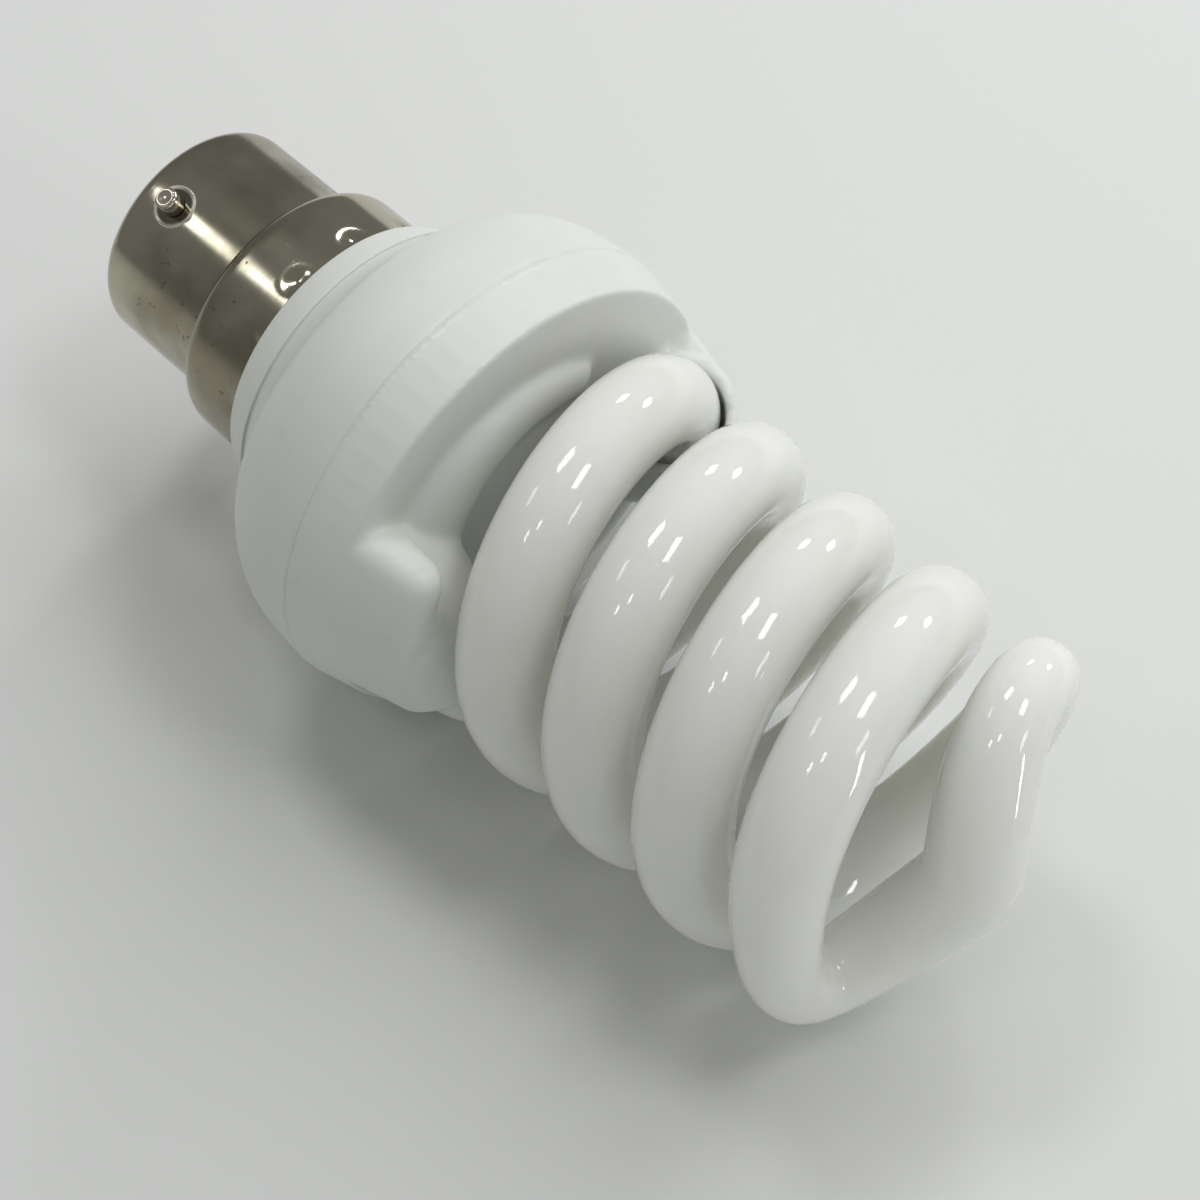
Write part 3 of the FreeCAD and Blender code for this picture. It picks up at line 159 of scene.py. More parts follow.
class HousingSizes(bpy.types.PropertyGroup):
    """Sizes of the white housing and of the cover."""

    collar_radius: length("Collar radius", "Radius of the collar inside the cap", 12.45 * MM)
    collar_step: length("Collar step", "How far the collar narrows under the dents", 0.6 * MM)
    bore: length("Bore", "Inside radius of the collar", 10.85 * MM)
    neck: length("Neck", "Station of the ring beside the cap", 18.1 * MM)
    neck_radius: length("Neck radius", "Radius of the ring at the cap", 14.5 * MM)
    ring: length("Ring", "Station where the ring ends", 21.6 * MM)
    ring_radius: length("Ring radius", "Radius of the ring at its end", 16.2 * MM)
    ring_step: length("Ring step", "Step down behind the ring", 0.35 * MM)
    flank: length("Flank", "Station where the hollow flank ends", 25.9 * MM)
    flank_radius: length("Flank radius", "Radius at the end of the flank", 20.4 * MM)
    flank_arc: length("Flank arc", "Radius of the hollow flank", 16.0 * MM)
    shoulder: length("Shoulder", "Station where the round shoulder ends", 31.9 * MM)
    shoulder_radius: length("Shoulder radius", "Radius at the end of the shoulder", 23.3 * MM)
    shoulder_arc: length("Shoulder arc", "Radius of the round shoulder", 11.0 * MM)
    parting: length("Parting", "Station of the line between housing and cover", HOUSING_BOX[1].x)
    parting_radius: length("Parting radius", "Radius at the parting line", HOUSING_BOX[1].z)
    parting_bevel: length("Parting bevel", "Small bevel that forms the parting line", 0.06 * MM)
    parting_lip: length("Parting lip", "Depth of the lip that fills the parting line", 0.24 * MM)
    lap: length("Lap", "Length of the thin wall behind the parting line", 3.6 * MM)
    wall: length("Wall", "Thickness of the moulding", 1.4 * MM)
    bevel: length("Bevel", "Edge rounding of the housing", 0.12 * MM)
    bevel_angle: angle("Bevel angle", "Least angle of an edge that is rounded", 25.0)
    face: length("End face", "Station of the cover's end face", 41.5 * MM)
    face_radius: length("End face radius", "Radius of the end face", 22.5 * MM)
    edge: length("Edge", "Width of the end face's crisp outer edge", 0.9 * MM)
    knuckle_turn: angle("Knuckle turn", "Angle of a hood's round knuckle, along the strand", -86.0)
    knuckle_radius: length("Knuckle radius", "Distance of a knuckle from the axis", 20.0 * MM)
    knuckle_rise: length("Knuckle rise", "Height of a knuckle above the end face", 6.5 * MM)
    knuckle_spread: length("Knuckle spread", "Reach of a knuckle's rounding", 5.0 * MM)
    detail: length("Cover detail", "Finest detail of the cover's moulded surface", 0.3 * MM)
    cover_passes: count("Cover passes", "Smoothing of the whole cover", 4)
    hood_passes: count("Hood passes", "Further smoothing of the hoods and ridges", 12)
    knuckle_passes: count("Knuckle passes", "Further smoothing of the knuckles", 60)


class SpiralSizes(bpy.types.PropertyGroup):
    """Sizes of the glass spiral."""

    tube_radius: length("Tube radius", "Radius of the glass tube", 4.3 * MM)
    helix_radius: length("Helix radius", "Radius of the tube's centre line", 15.2 * MM)
    pitch: length("Pitch", "Advance of a strand in one turn", 21.2 * MM)
    start: length("Start", "Station of a strand at its zero angle", 48.7 * MM)
    foot: length("Foot", "Station of the tube's ends inside the cover", 38.0 * MM)
    turn: angle("Turn", "Turn of the first strand about the axis", 57.0)
    bend: angle("Bend", "Angle at which a strand leaves its bend", -50.0)
    bend_sweep: angle("Bend sweep", "Angle that the bend takes up", 26.0)
    bend_reach: length("Bend reach", "Reach of the bend's control points", 4.0 * MM)
    bridge: angle("Bridge", "Angle at which a strand goes over into the bridge", 651.0)
    bridge_reach: length("Bridge reach", "Reach of the bridge's first control point", 18.4 * MM)
    bridge_sweep: angle("Bridge sweep", "Angle from the strand's end to the bridge's shoulder", 81.0)
    bridge_bulge: length("Bridge bulge", "How far the shoulder stands outside the helix", 1.9 * MM)
    bridge_rise: length("Bridge rise", "Rise of the shoulder", 0.1 * MM)
    tip_rise: length("Tip rise", "Rise of the crossing above the strand's end", 8.0 * MM)
    tip_reach: length("Tip reach", "Reach of the crossing's control point", 3.4 * MM)
    tip_heading: angle("Tip heading", "Direction of the bridge at the crossing", -171.0)
    pinch: bpy.props.FloatProperty(
        name="Pinch",
        description="Share by which the tube narrows in its end turns",
        default=0.22,
        min=0.0,
        max=0.5,
        subtype="FACTOR",
    )
    pinch_from_tip: length("Pinch place", "Distance of the narrowest place from the crossing", 21.5 * MM)
    pinch_spread: length("Pinch spread", "Length over which the tube narrows", 11.0 * MM)


class BulbFinishes(bpy.types.PropertyGroup):
    """Colours of the visible finishes."""

    nickel: colour("Nickel", "Plated cap", (0.45, 0.425, 0.335))
    # Also dimmed to paint the shade on the sunk seat round each pin
    tarnish_and_seat_shade: colour("Tarnish", "Dull brown film on the plating", (0.265, 0.245, 0.18))
    # Painted highlight: brighter paint on the bead round each pin, standing in for the light it reflects
    painted_bead_highlight: colour("Worn nickel", "Bead round a pin, rubbed bright", (0.72, 0.70, 0.62))
    pin: colour("Pin", "Plated pin", (0.56, 0.52, 0.44))
    pin_shade: colour("Pin shade", "Dull film on a pin", (0.34, 0.29, 0.20))
    plastic: colour("Plastic", "White moulding", (0.725, 0.745, 0.715))
    plastic_shade: colour("Plastic shade", "Slightly aged moulding", (0.685, 0.70, 0.645))
    glass: colour("Glass", "White coating inside the glass", (0.77, 0.78, 0.745))
    glass_shade: colour("Glass shade", "Thinner coating", (0.71, 0.715, 0.66))
    insulator: colour("Insulator", "Black glassy insulator", (0.022, 0.022, 0.026))
    solder: colour("Solder", "Solder on the contacts", (0.62, 0.62, 0.63))


class BulbStage(bpy.types.PropertyGroup):
    """Floor, light and camera."""

    floor: colour("Floor", "Pale floor", (0.74, 0.75, 0.74))
    floor_size: length("Floor size", "Width of the floor", 6.0)
    world: colour("Surround", "Even light from the room", (0.25, 0.254, 0.25))
    window: bpy.props.FloatProperty(
        name="Window", description="Brightness of a window pane with a share of 1", default=20.0, min=0.0
    )
    window_distance: length("Window distance", "Distance of the panes from the bulb", 0.6)
    camera_place: position("Camera place", "Where the camera stands", (144.96, -91.79, 188.80))
    camera_target: position("Camera target", "Point that the camera looks at", (49.26, 2.34, -10.15))
    camera_near: length("Camera near", "Nearest distance that the camera sees", 0.01)
    lens: bpy.props.FloatProperty(
        name="Lens", description="Focal length", default=77.52, min=1.0, unit="CAMERA"
    )
    sensor: bpy.props.FloatProperty(
        name="Sensor", description="Width of the camera's sensor", default=36.0, min=1.0, unit="CAMERA"
    )


class BulbSettings(bpy.types.PropertyGroup):
    """All settings of the bulb."""

    cap: bpy.props.PointerProperty(name="Cap", description="Sizes of the cap", type=CapSizes)
    housing: bpy.props.PointerProperty(name="Housing", description="Sizes of the housing", type=HousingSizes)
    spiral: bpy.props.PointerProperty(name="Spiral", description="Sizes of the spiral", type=SpiralSizes)
    finish: bpy.props.PointerProperty(name="Finishes", description="Colours", type=BulbFinishes)
    stage: bpy.props.PointerProperty(name="Stage", description="Floor, light and camera", type=BulbStage)


# Finishes


class Wire:
    """Output of a node, which takes part in arithmetic."""

    def __init__(self, finish, socket):
        self.finish = finish
        self.socket = socket

    def combine(self, operation, first, second):
        return self.finish.node("ShaderNodeMath", {"operation": operation}, {0: first, 1: second})

    def __add__(self, other):
        return self.combine("ADD", self, other)

    def __radd__(self, other):
        return self.combine("ADD", other, self)

    def __sub__(self, other):
        return self.combine("SUBTRACT", self, other)

    def __rsub__(self, other):
        return self.combine("SUBTRACT", other, self)

    def __mul__(self, other):
        return self.combine("MULTIPLY", self, other)

    def __rmul__(self, other):
        return self.combine("MULTIPLY", other, self)


# Sockets of a Mix node that mixes colours
MIX_SHARE = 0
MIX_FIRST = 6
MIX_SECOND = 7
MIX_RESULT = 2


class Finish:
    """Material made of nodes round one surface shader."""

    def __init__(self, name):
        self.material = bpy.data.materials.new(name)
        self.material.use_nodes = True
        self.tree = self.material.node_tree
        self.tree.nodes.clear()

    def node(self, kind, options=None, sockets=None, output=0):
        """Add a node, set its options and fill its sockets with values or wires."""
        made = self.tree.nodes.new(kind)
        for key, value in (options or {}).items():
            setattr(made, key, value)
        for key, value in (sockets or {}).items():
            if isinstance(value, Wire):
                self.tree.links.new(value.socket, made.inputs[key])
            else:
                made.inputs[key].default_value = value
        return Wire(self, made.outputs[output]) if made.outputs else None

    def place(self, scale=(1.0, 1.0, 1.0)):
        """Point of the surface in the lamp's own frame, stretched by a scale."""
        point = self.node("ShaderNodeTexCoord", output="Object")
        return self.node("ShaderNodeMapping", sockets={"Vector": point, "Scale": scale})

    def noise(self, scale, detail, place=None):
        sockets = {"Vector": place or self.place(), "Scale": scale, "Detail": detail}
        return self.node("ShaderNodeTexNoise", sockets=sockets)

    def from_line(self, direction):
        """Distance of a point from a line through the lamp's origin."""
        sockets = {0: self.place(), 1: direction}
        across = self.node("ShaderNodeVectorMath", {"operation": "CROSS_PRODUCT"}, sockets)
        return self.node("ShaderNodeVectorMath", {"operation": "LENGTH"}, {0: across}, "Value")

    def between(self, value, low, high):
        """Share from 0 to 1 of a value between two limits."""
        sockets = {"Value": value, "From Min": low, "From Max": high}
        return self.node("ShaderNodeMapRange", {"interpolation_type": "SMOOTHSTEP"}, sockets)

    def patches(self, scale, detail, low, high):
        """Share from 0 to 1 that rises where a noise goes from a low to a high limit."""
        return self.between(self.noise(scale, detail), low, high)

    def mix(self, share, first, second):
        """Colour between two colours or wires."""
        sockets = {MIX_SHARE: share, MIX_FIRST: shade(first), MIX_SECOND: shade(second)}
        return self.node("ShaderNodeMix", {"data_type": "RGBA"}, sockets, MIX_RESULT)

    def bump(self, height, strength, distance):
        return self.node(
            "ShaderNodeBump", sockets={"Height": height, "Strength": strength, "Distance": distance}
        )

    def surface(self, sockets):
        """Finish the material with its surface shader."""
        shader = self.node("ShaderNodeBsdfPrincipled", sockets=sockets)
        self.node("ShaderNodeOutputMaterial", sockets={"Surface": shader})
        return self.material


def shade(value):
    """Colour with its alpha, or a wire as it is."""
    return value if isinstance(value, Wire) else (*value, 1.0)


def dimmed(value, share):
    """Colour at a share of its brightness."""
    return tuple(share * part for part in value)


def cap_finish(cap, colours):
    """Plating of the cap, with a painted highlight on the bead round each pin and painted shade on the seat
    inside it.
    """
    finish = Finish("nickel_plate")
    outer = cap.ring_radius
    inner = outer - 2 * cap.ring_bead
    fade = cap.ring_bead / 2
    apart = finish.from_line((0.0, -math.sin(cap.turn), math.cos(cap.turn)))
    # Painted shade: the sunk seat inside the bead round each pin is painted dark
    painted_seat_shade = 1.0 - finish.between(apart, inner - 1.5 * fade, inner)
    # Painted highlight on the bead round each pin: brighter paint and more roughness
    painted_bead_highlight = finish.between(apart, inner, inner + fade)
    painted_bead_highlight = painted_bead_highlight * (1.0 - finish.between(apart, outer - fade, outer))
    # Painted shade on each seat, then the painted highlight on each bead
    marks = (
        (painted_seat_shade, 0.7, dimmed(colours.tarnish_and_seat_shade, 0.25), 0.0),
        (painted_bead_highlight, 0.8, colours.painted_bead_highlight, 0.3),
    )
    return plated(finish, colours.nickel, colours.tarnish_and_seat_shade, roughness=0.11, marks=marks)


def plated(finish, bright, dull, roughness, marks=()):
    """Plating with a dull film, dark specks and fine turning lines.

    A mark is a mask, the strength and colour of its paint, and the roughness that it adds.
    """
    film = finish.patches(scale=85.0, detail=4.0, low=0.38, high=0.66)
    clusters = finish.patches(scale=140.0, detail=2.0, low=0.48, high=0.62)
    specks = finish.patches(scale=1500.0, detail=2.0, low=0.64, high=0.70) * clusters
    lines = finish.noise(scale=2600.0, detail=2.0, place=finish.place((1.0, 0.02, 0.02)))
    base = finish.mix(film, bright, dull)
    base = finish.mix(specks * 0.7, base, dimmed(dull, 0.4))
    rough = roughness + film * 0.09 + specks * 0.2 + lines * 0.04
    for mask, strength, paint, added in marks:
        base = finish.mix(mask * strength, base, paint)
        rough = rough + mask * added
    return finish.surface({
        "Base Color": base,
        "Metallic": 1.0,
        "Roughness": rough,
        "Normal": finish.bump(lines + film, strength=0.06, distance=0.05 * MM),
    })


def plastic_finish(name, clean, aged):
    """Satin moulding with a fine grain and faint marks of handling."""
    finish = Finish(name)
    clouds = finish.patches(scale=55.0, detail=3.0, low=0.35, high=0.68)
    grain = finish.noise(scale=2200.0, detail=2.0)
    marks = finish.patches(scale=420.0, detail=5.0, low=0.60, high=0.74)
    base = finish.mix(clouds * 0.55, clean, aged)
    base = finish.mix(marks * 0.18, base, dimmed(aged, 0.86))
    return finish.surface({
        "Base Color": base,
        "Roughness": 0.33 + clouds * 0.06 + grain * 0.08,
        "IOR": 1.5,
        "Normal": finish.bump(grain, strength=0.08, distance=0.05 * MM),
    })


def glass_finish(name, thick, thin):
    """Glossy glass over a white coating that varies a little in thickness."""
    finish = Finish(name)
    coating = finish.patches(scale=45.0, detail=3.0, low=0.34, high=0.68)
    grain = finish.noise(scale=900.0, detail=3.0)
    waves = finish.noise(scale=110.0, detail=1.0)
    base = finish.mix(coating * 0.6 + grain * 0.15, thick, thin)
    return finish.surface({
        "Base Color": base,
        "Roughness": 0.025 + grain * 0.02,
        "IOR": 1.52,
        "Subsurface Weight": 1.0,
        "Subsurface Radius": (1.0, 1.0, 0.9),
        "Subsurface Scale": 14.0 * MM,
        "Normal": finish.bump(waves, strength=0.02, distance=0.4 * MM),
    })


def inner_finish(slot, body, metallic, roughness, grain_scale):
    """Finish of the insulator or of a piece inside: mottled colour, a grain and varied gloss."""
    finish = Finish(slot)
    cloud = finish.noise(scale=220.0, detail=4.0)
    grain = finish.noise(scale=grain_scale, detail=3.0)
    return finish.surface({
        "Base Color": finish.mix(cloud, body, dimmed(body, 0.72)),
        "Metallic": metallic,
        "Roughness": roughness + grain * 0.15,
        "Normal": finish.bump(grain, strength=0.2, distance=0.04 * MM),
    })


# Roughness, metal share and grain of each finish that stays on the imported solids
INNER_FINISHES = {
    "board_laminate": (0.55, 0.0, 1800.0),
    "capacitor_sleeve": (0.30, 0.0, 600.0),
    "film_epoxy": (0.28, 0.0, 500.0),
    "ferrite": (0.50, 0.0, 2200.0),
    "bobbin_plastic": (0.45, 0.0, 1500.0),
    "copper_wire": (0.30, 0.0, 2500.0),
    "black_epoxy": (0.50, 0.0, 2000.0),
    "resistor_coat": (0.45, 0.0, 1600.0),
    "diac_glass": (0.12, 0.0, 700.0),
    "lead_sleeve": (0.40, 0.0, 900.0),
    "tinned_wire": (0.28, 1.0, 1800.0),
    "cement": (0.75, 0.0, 1300.0),
}


# Modelling

# Angles in degrees above which an edge stays sharp
TURNED_EDGE = 40.0
DRAWN_EDGE = 50.0
NO_EDGE = 180.0


def settings():
    """Settings of the bulb in the open scene."""
    return bpy.context.scene.bulb


def clear_selection():
    """Go to Object Mode with nothing selected."""
    if bpy.context.mode != "OBJECT":
        bpy.ops.object.mode_set(mode="OBJECT")
    bpy.ops.object.select_all(action="DESELECT")


def choose(piece):
    """Select one piece alone, and make it active."""
    clear_selection()
    piece.select_set(True)
    bpy.context.view_layer.objects.active = piece


def pick(piece, wanted):
    """Select the vertices that are wanted, and go into Edit Mode."""
    choose(piece)
    bpy.ops.object.mode_set(mode="EDIT")
    bpy.ops.mesh.select_mode(type="VERT")
    bpy.ops.mesh.select_all(action="DESELECT")
    bpy.ops.object.mode_set(mode="OBJECT")
    piece.data.vertices.foreach_set("select", [wanted(vertex) for vertex in piece.data.vertices])
    bpy.ops.object.mode_set(mode="EDIT")


def drawn_line(name, points):
    """Chain of edges through points, drawn on from one vertex."""
    clear_selection()
    bpy.ops.mesh.primitive_plane_add(size=MM)
    piece = bpy.context.object
    piece.name = name
    piece.data.name = name
    bpy.ops.object.mode_set(mode="EDIT")
    bpy.ops.mesh.merge(type="CENTER")
    bpy.ops.transform.translate(value=points[0])
    for start, end in zip(points, points[1:]):
        step = Vector(end) - Vector(start)
        bpy.ops.mesh.extrude_vertices_move(TRANSFORM_OT_translate={"value": step})
    bpy.ops.object.mode_set(mode="OBJECT")
    return piece


def weld(piece):
    """Merge the vertices that lie in one place, and turn the faces outwards."""
    choose(piece)
    bpy.ops.object.mode_set(mode="EDIT")
    bpy.ops.mesh.select_all(action="SELECT")
    bpy.ops.mesh.remove_doubles(threshold=WELD)
    bpy.ops.mesh.normals_make_consistent(inside=False)
    bpy.ops.object.mode_set(mode="OBJECT")


def turned(name, outline, steps, axis="X"):
    """Piece turned from an outline of (station, radius) pairs about the X or the Z axis."""
    if axis == "X":
        points = [(station, 0.0, radius) for station, radius in outline]
        direction = (1.0, 0.0, 0.0)
    else:
        points = [(radius, 0.0, station) for station, radius in outline]
        direction = (0.0, 0.0, 1.0)
    piece = drawn_line(name, points)
    choose(piece)
    bpy.ops.object.mode_set(mode="EDIT")
    bpy.ops.mesh.select_all(action="SELECT")
    bpy.ops.mesh.spin(steps=steps, angle=TURN, center=(0.0, 0.0, 0.0), axis=direction)
    weld(piece)
    return piece


def arc(start, end, radius, side, steps=8):
    """Points after the start on a circular arc; its centre is left of the way for side 1, right for -1."""
    start = Vector(start)
    end = Vector(end)
    chord = end - start
    half = chord.length / 2
    left = Vector((-chord.y, chord.x)).normalized()
    centre = (start + end) / 2 + left * side * math.sqrt(radius ** 2 - half ** 2)
    first = start - centre
    last = end - centre
    sweep = math.atan2(first.cross(last), first.dot(last))
    begin = math.atan2(first.y, first.x)
    points = []
    for i in range(1, steps + 1):
        turn = begin + sweep * i / steps
        points.append((centre.x + radius * math.cos(turn), centre.y + radius * math.sin(turn)))
    return points


def stretch(start, end, steps):
    """Points after the start on a straight line."""
    start = Vector(start)
    end = Vector(end)
    return [tuple(start.lerp(end, i / steps)) for i in range(1, steps + 1)]


def add_modifier(piece, kind, **values):
    """Add a modifier, set it and apply it."""
    choose(piece)
    modifier = piece.modifiers.new(kind.title(), kind)
    for key, value in values.items():
        setattr(modifier, key, value)
    bpy.ops.object.modifier_apply(modifier=modifier.name)


def smooth(piece, degrees):
    """Shade a piece smooth, apart from its sharp edges."""
    choose(piece)
    bpy.ops.object.shade_smooth_by_angle(angle=math.radians(degrees))


def set_down(piece):
    """Put a piece's place and turn into its mesh."""
    choose(piece)
    bpy.ops.object.transform_apply(location=True, rotation=True, scale=True)


def swing(piece, turn):
    """Turn a piece about the lamp's axis."""
    piece.rotation_euler.x = turn
    set_down(piece)


def copy_of(piece, name):
    """Copy of a piece, with a mesh of its own."""
    twin = piece.copy()
    twin.data = piece.data.copy()
    twin.name = name
    twin.data.name = name
    bpy.context.scene.collection.objects.link(twin)
    return twin


def opposite(piece, name):
    """Copy of a piece on the other side of the lamp's axis."""
    twin = copy_of(piece, name)
    swing(twin, math.pi)
    return twin


def dress(piece, node, material):
    """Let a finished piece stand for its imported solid."""
    piece.data.materials.clear()
    piece.data.materials.append(material)
    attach(piece, "root")
    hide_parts(node)


# Cap


def cap_outline(sizes):
    """Outside of the sheet, from the rim over the step to the flared end."""
    shell = sizes.shell_radius
    skirt = sizes.skirt_radius
    step = sizes.step
    fillet = sizes.step_fillet
    bead = sizes.step_bead
    lip = sizes.lip
    flare_run = 2 * lip
    flare = (flare_run ** 2 + lip ** 2) / (2 * lip)
    outline = [(sizes.rim, shell - sizes.rim_return), (sizes.rim, shell - sizes.rim_round)]
    outline += arc(outline[-1], (sizes.rim + sizes.rim_round, shell), sizes.rim_round, -1)
    outline += stretch(outline[-1], (step - fillet, shell), steps=12)
    outline += arc(outline[-1], (step, shell + fillet), fillet, 1)
    outline += stretch(outline[-1], (step, skirt - bead), steps=2)
    outline += arc(outline[-1], (step + bead, skirt), bead, -1)
    outline += stretch(outline[-1], (sizes.dent_station - sizes.dent_width, skirt), steps=6)
    outline += stretch(outline[-1], (sizes.end - flare_run, skirt), steps=18)
    outline += arc(outline[-1], (sizes.end, skirt + lip), flare, 1, steps=4)
    return outline


def press_dents(shell, sizes):
    """Press the staking dents into the skirt, each with a soft edge."""
    places = [vertex.co.copy() for vertex in shell.data.vertices]
    for i in range(sizes.dents):
        turn = sizes.turn + sizes.dent_turn + TURN * i / sizes.dents
        outward = Vector((0.0, math.cos(turn), math.sin(turn)))
        spot = outward * sizes.skirt_radius + Vector((sizes.dent_station, 0.0, 0.0))
        nearest = min(range(len(places)), key=lambda index: (places[index] - spot).length_squared)
        pick(shell, lambda vertex: vertex.index == nearest)
        bpy.ops.transform.translate(
            value=outward * -sizes.dent_depth,
            use_proportional_edit=True,
            proportional_edit_falloff="SMOOTH",
            proportional_size=sizes.dent_width,
        )
        bpy.ops.object.mode_set(mode="OBJECT")


def ring_outline(sizes):
    """Flat seat of a pin, with a thin raised bead round it."""
    top = sizes.shell_radius + sizes.ring_rise
    seat = top - sizes.seat_depth
    bead = sizes.ring_bead
    crown = sizes.ring_radius - bead
    curve = 1.2 * bead
    sink = bead / 2
    foot = math.sqrt(sizes.shell_radius ** 2 - sizes.ring_radius ** 2) - sink
    outline = [(seat, 0.0), (seat, crown - 2 * bead)]
    outline += arc(outline[-1], (seat + sizes.seat_depth / 2, crown - bead), curve, 1, steps=4)
    outline += arc(outline[-1], (top, crown), curve, -1, steps=4)
    outline += arc(outline[-1], (seat, sizes.ring_radius), curve, -1, steps=5)
    outline += stretch(outline[-1], (foot, sizes.ring_radius + sink), steps=2)
    outline.append((foot, 0.0))
    return outline


class BULB_OT_cap_shell(bpy.types.Operator):
    """Make the plated shell with its step, dents and pin rings"""

    bl_idname = "bulb.cap_shell"
    bl_label = "Cap shell"

    def execute(self, context):
        sizes = settings().cap
        shell = turned("cap_shell_plate", cap_outline(sizes), steps=288)
        press_dents(shell, sizes)
        add_modifier(shell, "SOLIDIFY", thickness=sizes.wall, offset=-1.0)
        smooth(shell, DRAWN_EDGE)
        first = turned("pin_ring", ring_outline(sizes), steps=72, axis="Z")
        swing(first, sizes.turn)
        smooth(first, DRAWN_EDGE)
        second = opposite(first, "pin_ring_opposite")
        choose(shell)
        first.select_set(True)
        second.select_set(True)
        bpy.ops.object.join()
        dress(shell, "cap_shell", cap_finish(sizes, settings().finish))
        return {"FINISHED"}


def pin_outline(sizes):
    """Riveted pin, from its root in the shell to the dimple in its top."""
    root = sizes.shell_radius - sizes.pin_root
    seat = sizes.shell_radius + sizes.ring_rise
    top = sizes.pin_reach
    radius = sizes.pin_radius
    edge = sizes.pin_edge
    dimple = sizes.pin_dimple
    flare = radius - sizes.pin_neck
    outline = [(root, 0.0), (root, sizes.pin_neck), (seat, sizes.pin_neck)]
    outline += arc(outline[-1], (seat + flare, radius), flare, 1, steps=4)
    outline += stretch(outline[-1], (top - edge, radius), steps=4)
    outline += arc(outline[-1], (top, radius - edge), edge, 1, steps=6)
    outline += [(top, 0.55 * radius), (top - 0.8 * dimple, 0.35 * radius), (top - dimple, 0.0)]
    return outline


class BULB_OT_pins(bpy.types.Operator):
    """Make the two riveted bayonet pins"""

    bl_idname = "bulb.pins"
    bl_label = "Bayonet pins"

    def execute(self, context):
        sizes = settings().cap
        colours = settings().finish
        material = plated(Finish("pin_metal"), colours.pin, colours.pin_shade, roughness=0.16)
        first = turned("bayonet_pin_rivet_1", pin_outline(sizes), steps=64, axis="Z")
        swing(first, sizes.turn)
        smooth(first, TURNED_EDGE)
        second = opposite(first, "bayonet_pin_rivet_2")
        dress(first, "bayonet_pin_1", material)
        dress(second, "bayonet_pin_2", material)
        return {"FINISHED"}


def insulator_outline(sizes):
    """Disc that fills the cap's end, with a wider part behind the rim."""
    front = INSULATOR_BOX[0].x
    back = INSULATOR_BOX[1].x
    outer = INSULATOR_BOX[1].z
    inner = sizes.shell_radius - sizes.rim_return - sizes.insulator_gap
    ledge = sizes.rim + sizes.insulator_ledge
    edge = sizes.insulator_edge
    outline = [(front, 0.0), (front, inner - edge)]
    outline += arc(outline[-1], (front + edge, inner), edge, -1, steps=6)
    outline += [(ledge, inner), (ledge, outer), (back, outer), (back, 0.0)]
    return outline


def contact_outline(sizes):
    """Contact plate on the insulator, with a dome of solder."""
    back = INSULATOR_BOX[0].x
    front = back - sizes.contact_plate
    rim = sizes.contact_radius
    edge = sizes.contact_edge
    dome = sizes.dome_radius
    rise = sizes.dome_rise
    curve = (dome ** 2 + rise ** 2) / (2 * rise)
    outline = [(front - rise, 0.0)]
    outline += arc(outline[0], (front, dome), curve, -1, steps=10)
    outline += [(front, rim - edge), (front + edge, rim), (back, rim), (back, 0.0)]
    return outline


class BULB_OT_contacts(bpy.types.Operator):
    """Make the black insulator and the two soldered contacts"""

    bl_idname = "bulb.contacts"
    bl_label = "Insulator and contacts"

    def execute(self, context):
        sizes = settings().cap
        colours = settings().finish
        disc = turned("insulator_disc", insulator_outline(sizes), steps=160)
        smooth(disc, TURNED_EDGE)
        black = inner_finish("insulator", colours.insulator, metallic=0.0, roughness=0.10, grain_scale=500.0)
        dress(disc, "cap_insulator", black)
        solder = plated(Finish("solder"), colours.solder, dimmed(colours.solder, 0.6), roughness=0.28)
        first = turned("solder_contact_1", contact_outline(sizes), steps=72)
        first.location.y = sizes.contact_offset
        set_down(first)
        swing(first, sizes.turn)
        smooth(first, TURNED_EDGE)
        second = opposite(first, "solder_contact_2")
        dress(first, "contact_1", solder)
        dress(second, "contact_2", solder)
        return {"FINISHED"}


# Housing and cover


def housing_outline(sizes, cap):
    """Closed outline: along the outside from the collar to the parting line, and back along the inside."""
    front = HOUSING_BOX[0].x
    collar = sizes.collar_radius
    narrow = collar - sizes.collar_step
    drop = sizes.ring_radius - sizes.ring_step
    wall = sizes.wall
    slope = DIAGONAL * wall
    lip = sizes.parting + sizes.detail
    inside = sizes.parting_radius - wall
    hollow = (sizes.flank + slope, sizes.flank_radius - slope)
    outline = [(front, sizes.bore), (front, collar), (cap.dent_station, narrow), (sizes.neck, narrow)]
    outline.append((sizes.neck, sizes.neck_radius))
    outline += stretch(outline[-1], (sizes.ring, sizes.ring_radius), steps=3)
    outline.append((sizes.ring, drop))
    outline += arc(outline[-1], (sizes.flank, sizes.flank_radius), sizes.flank_arc, 1, steps=14)
    outline += arc(outline[-1], (sizes.shoulder, sizes.shoulder_radius), sizes.shoulder_arc, -1, steps=18)
    outline += stretch(outline[-1], (sizes.parting - sizes.parting_bevel, sizes.parting_radius), steps=4)
    outline.append((sizes.parting, sizes.parting_radius - sizes.parting_bevel))
    outline += [(lip, sizes.parting_radius - sizes.parting_lip), (lip, inside)]
    outline += [(sizes.parting - sizes.lap, inside), (sizes.shoulder, sizes.shoulder_radius - wall)]
    outline += arc(outline[-1], hollow, sizes.shoulder_arc - wall, 1, steps=6)
    outline += [(sizes.ring + slope, drop - slope), (sizes.neck + wall, sizes.bore), outline[0]]
    return outline


def white_moulding():
    """Finish shared by the housing and the cover."""
    name = "housing_plastic_white"
    colours = settings().finish
    return bpy.data.materials.get(name) or plastic_finish(name, colours.plastic, colours.plastic_shade)


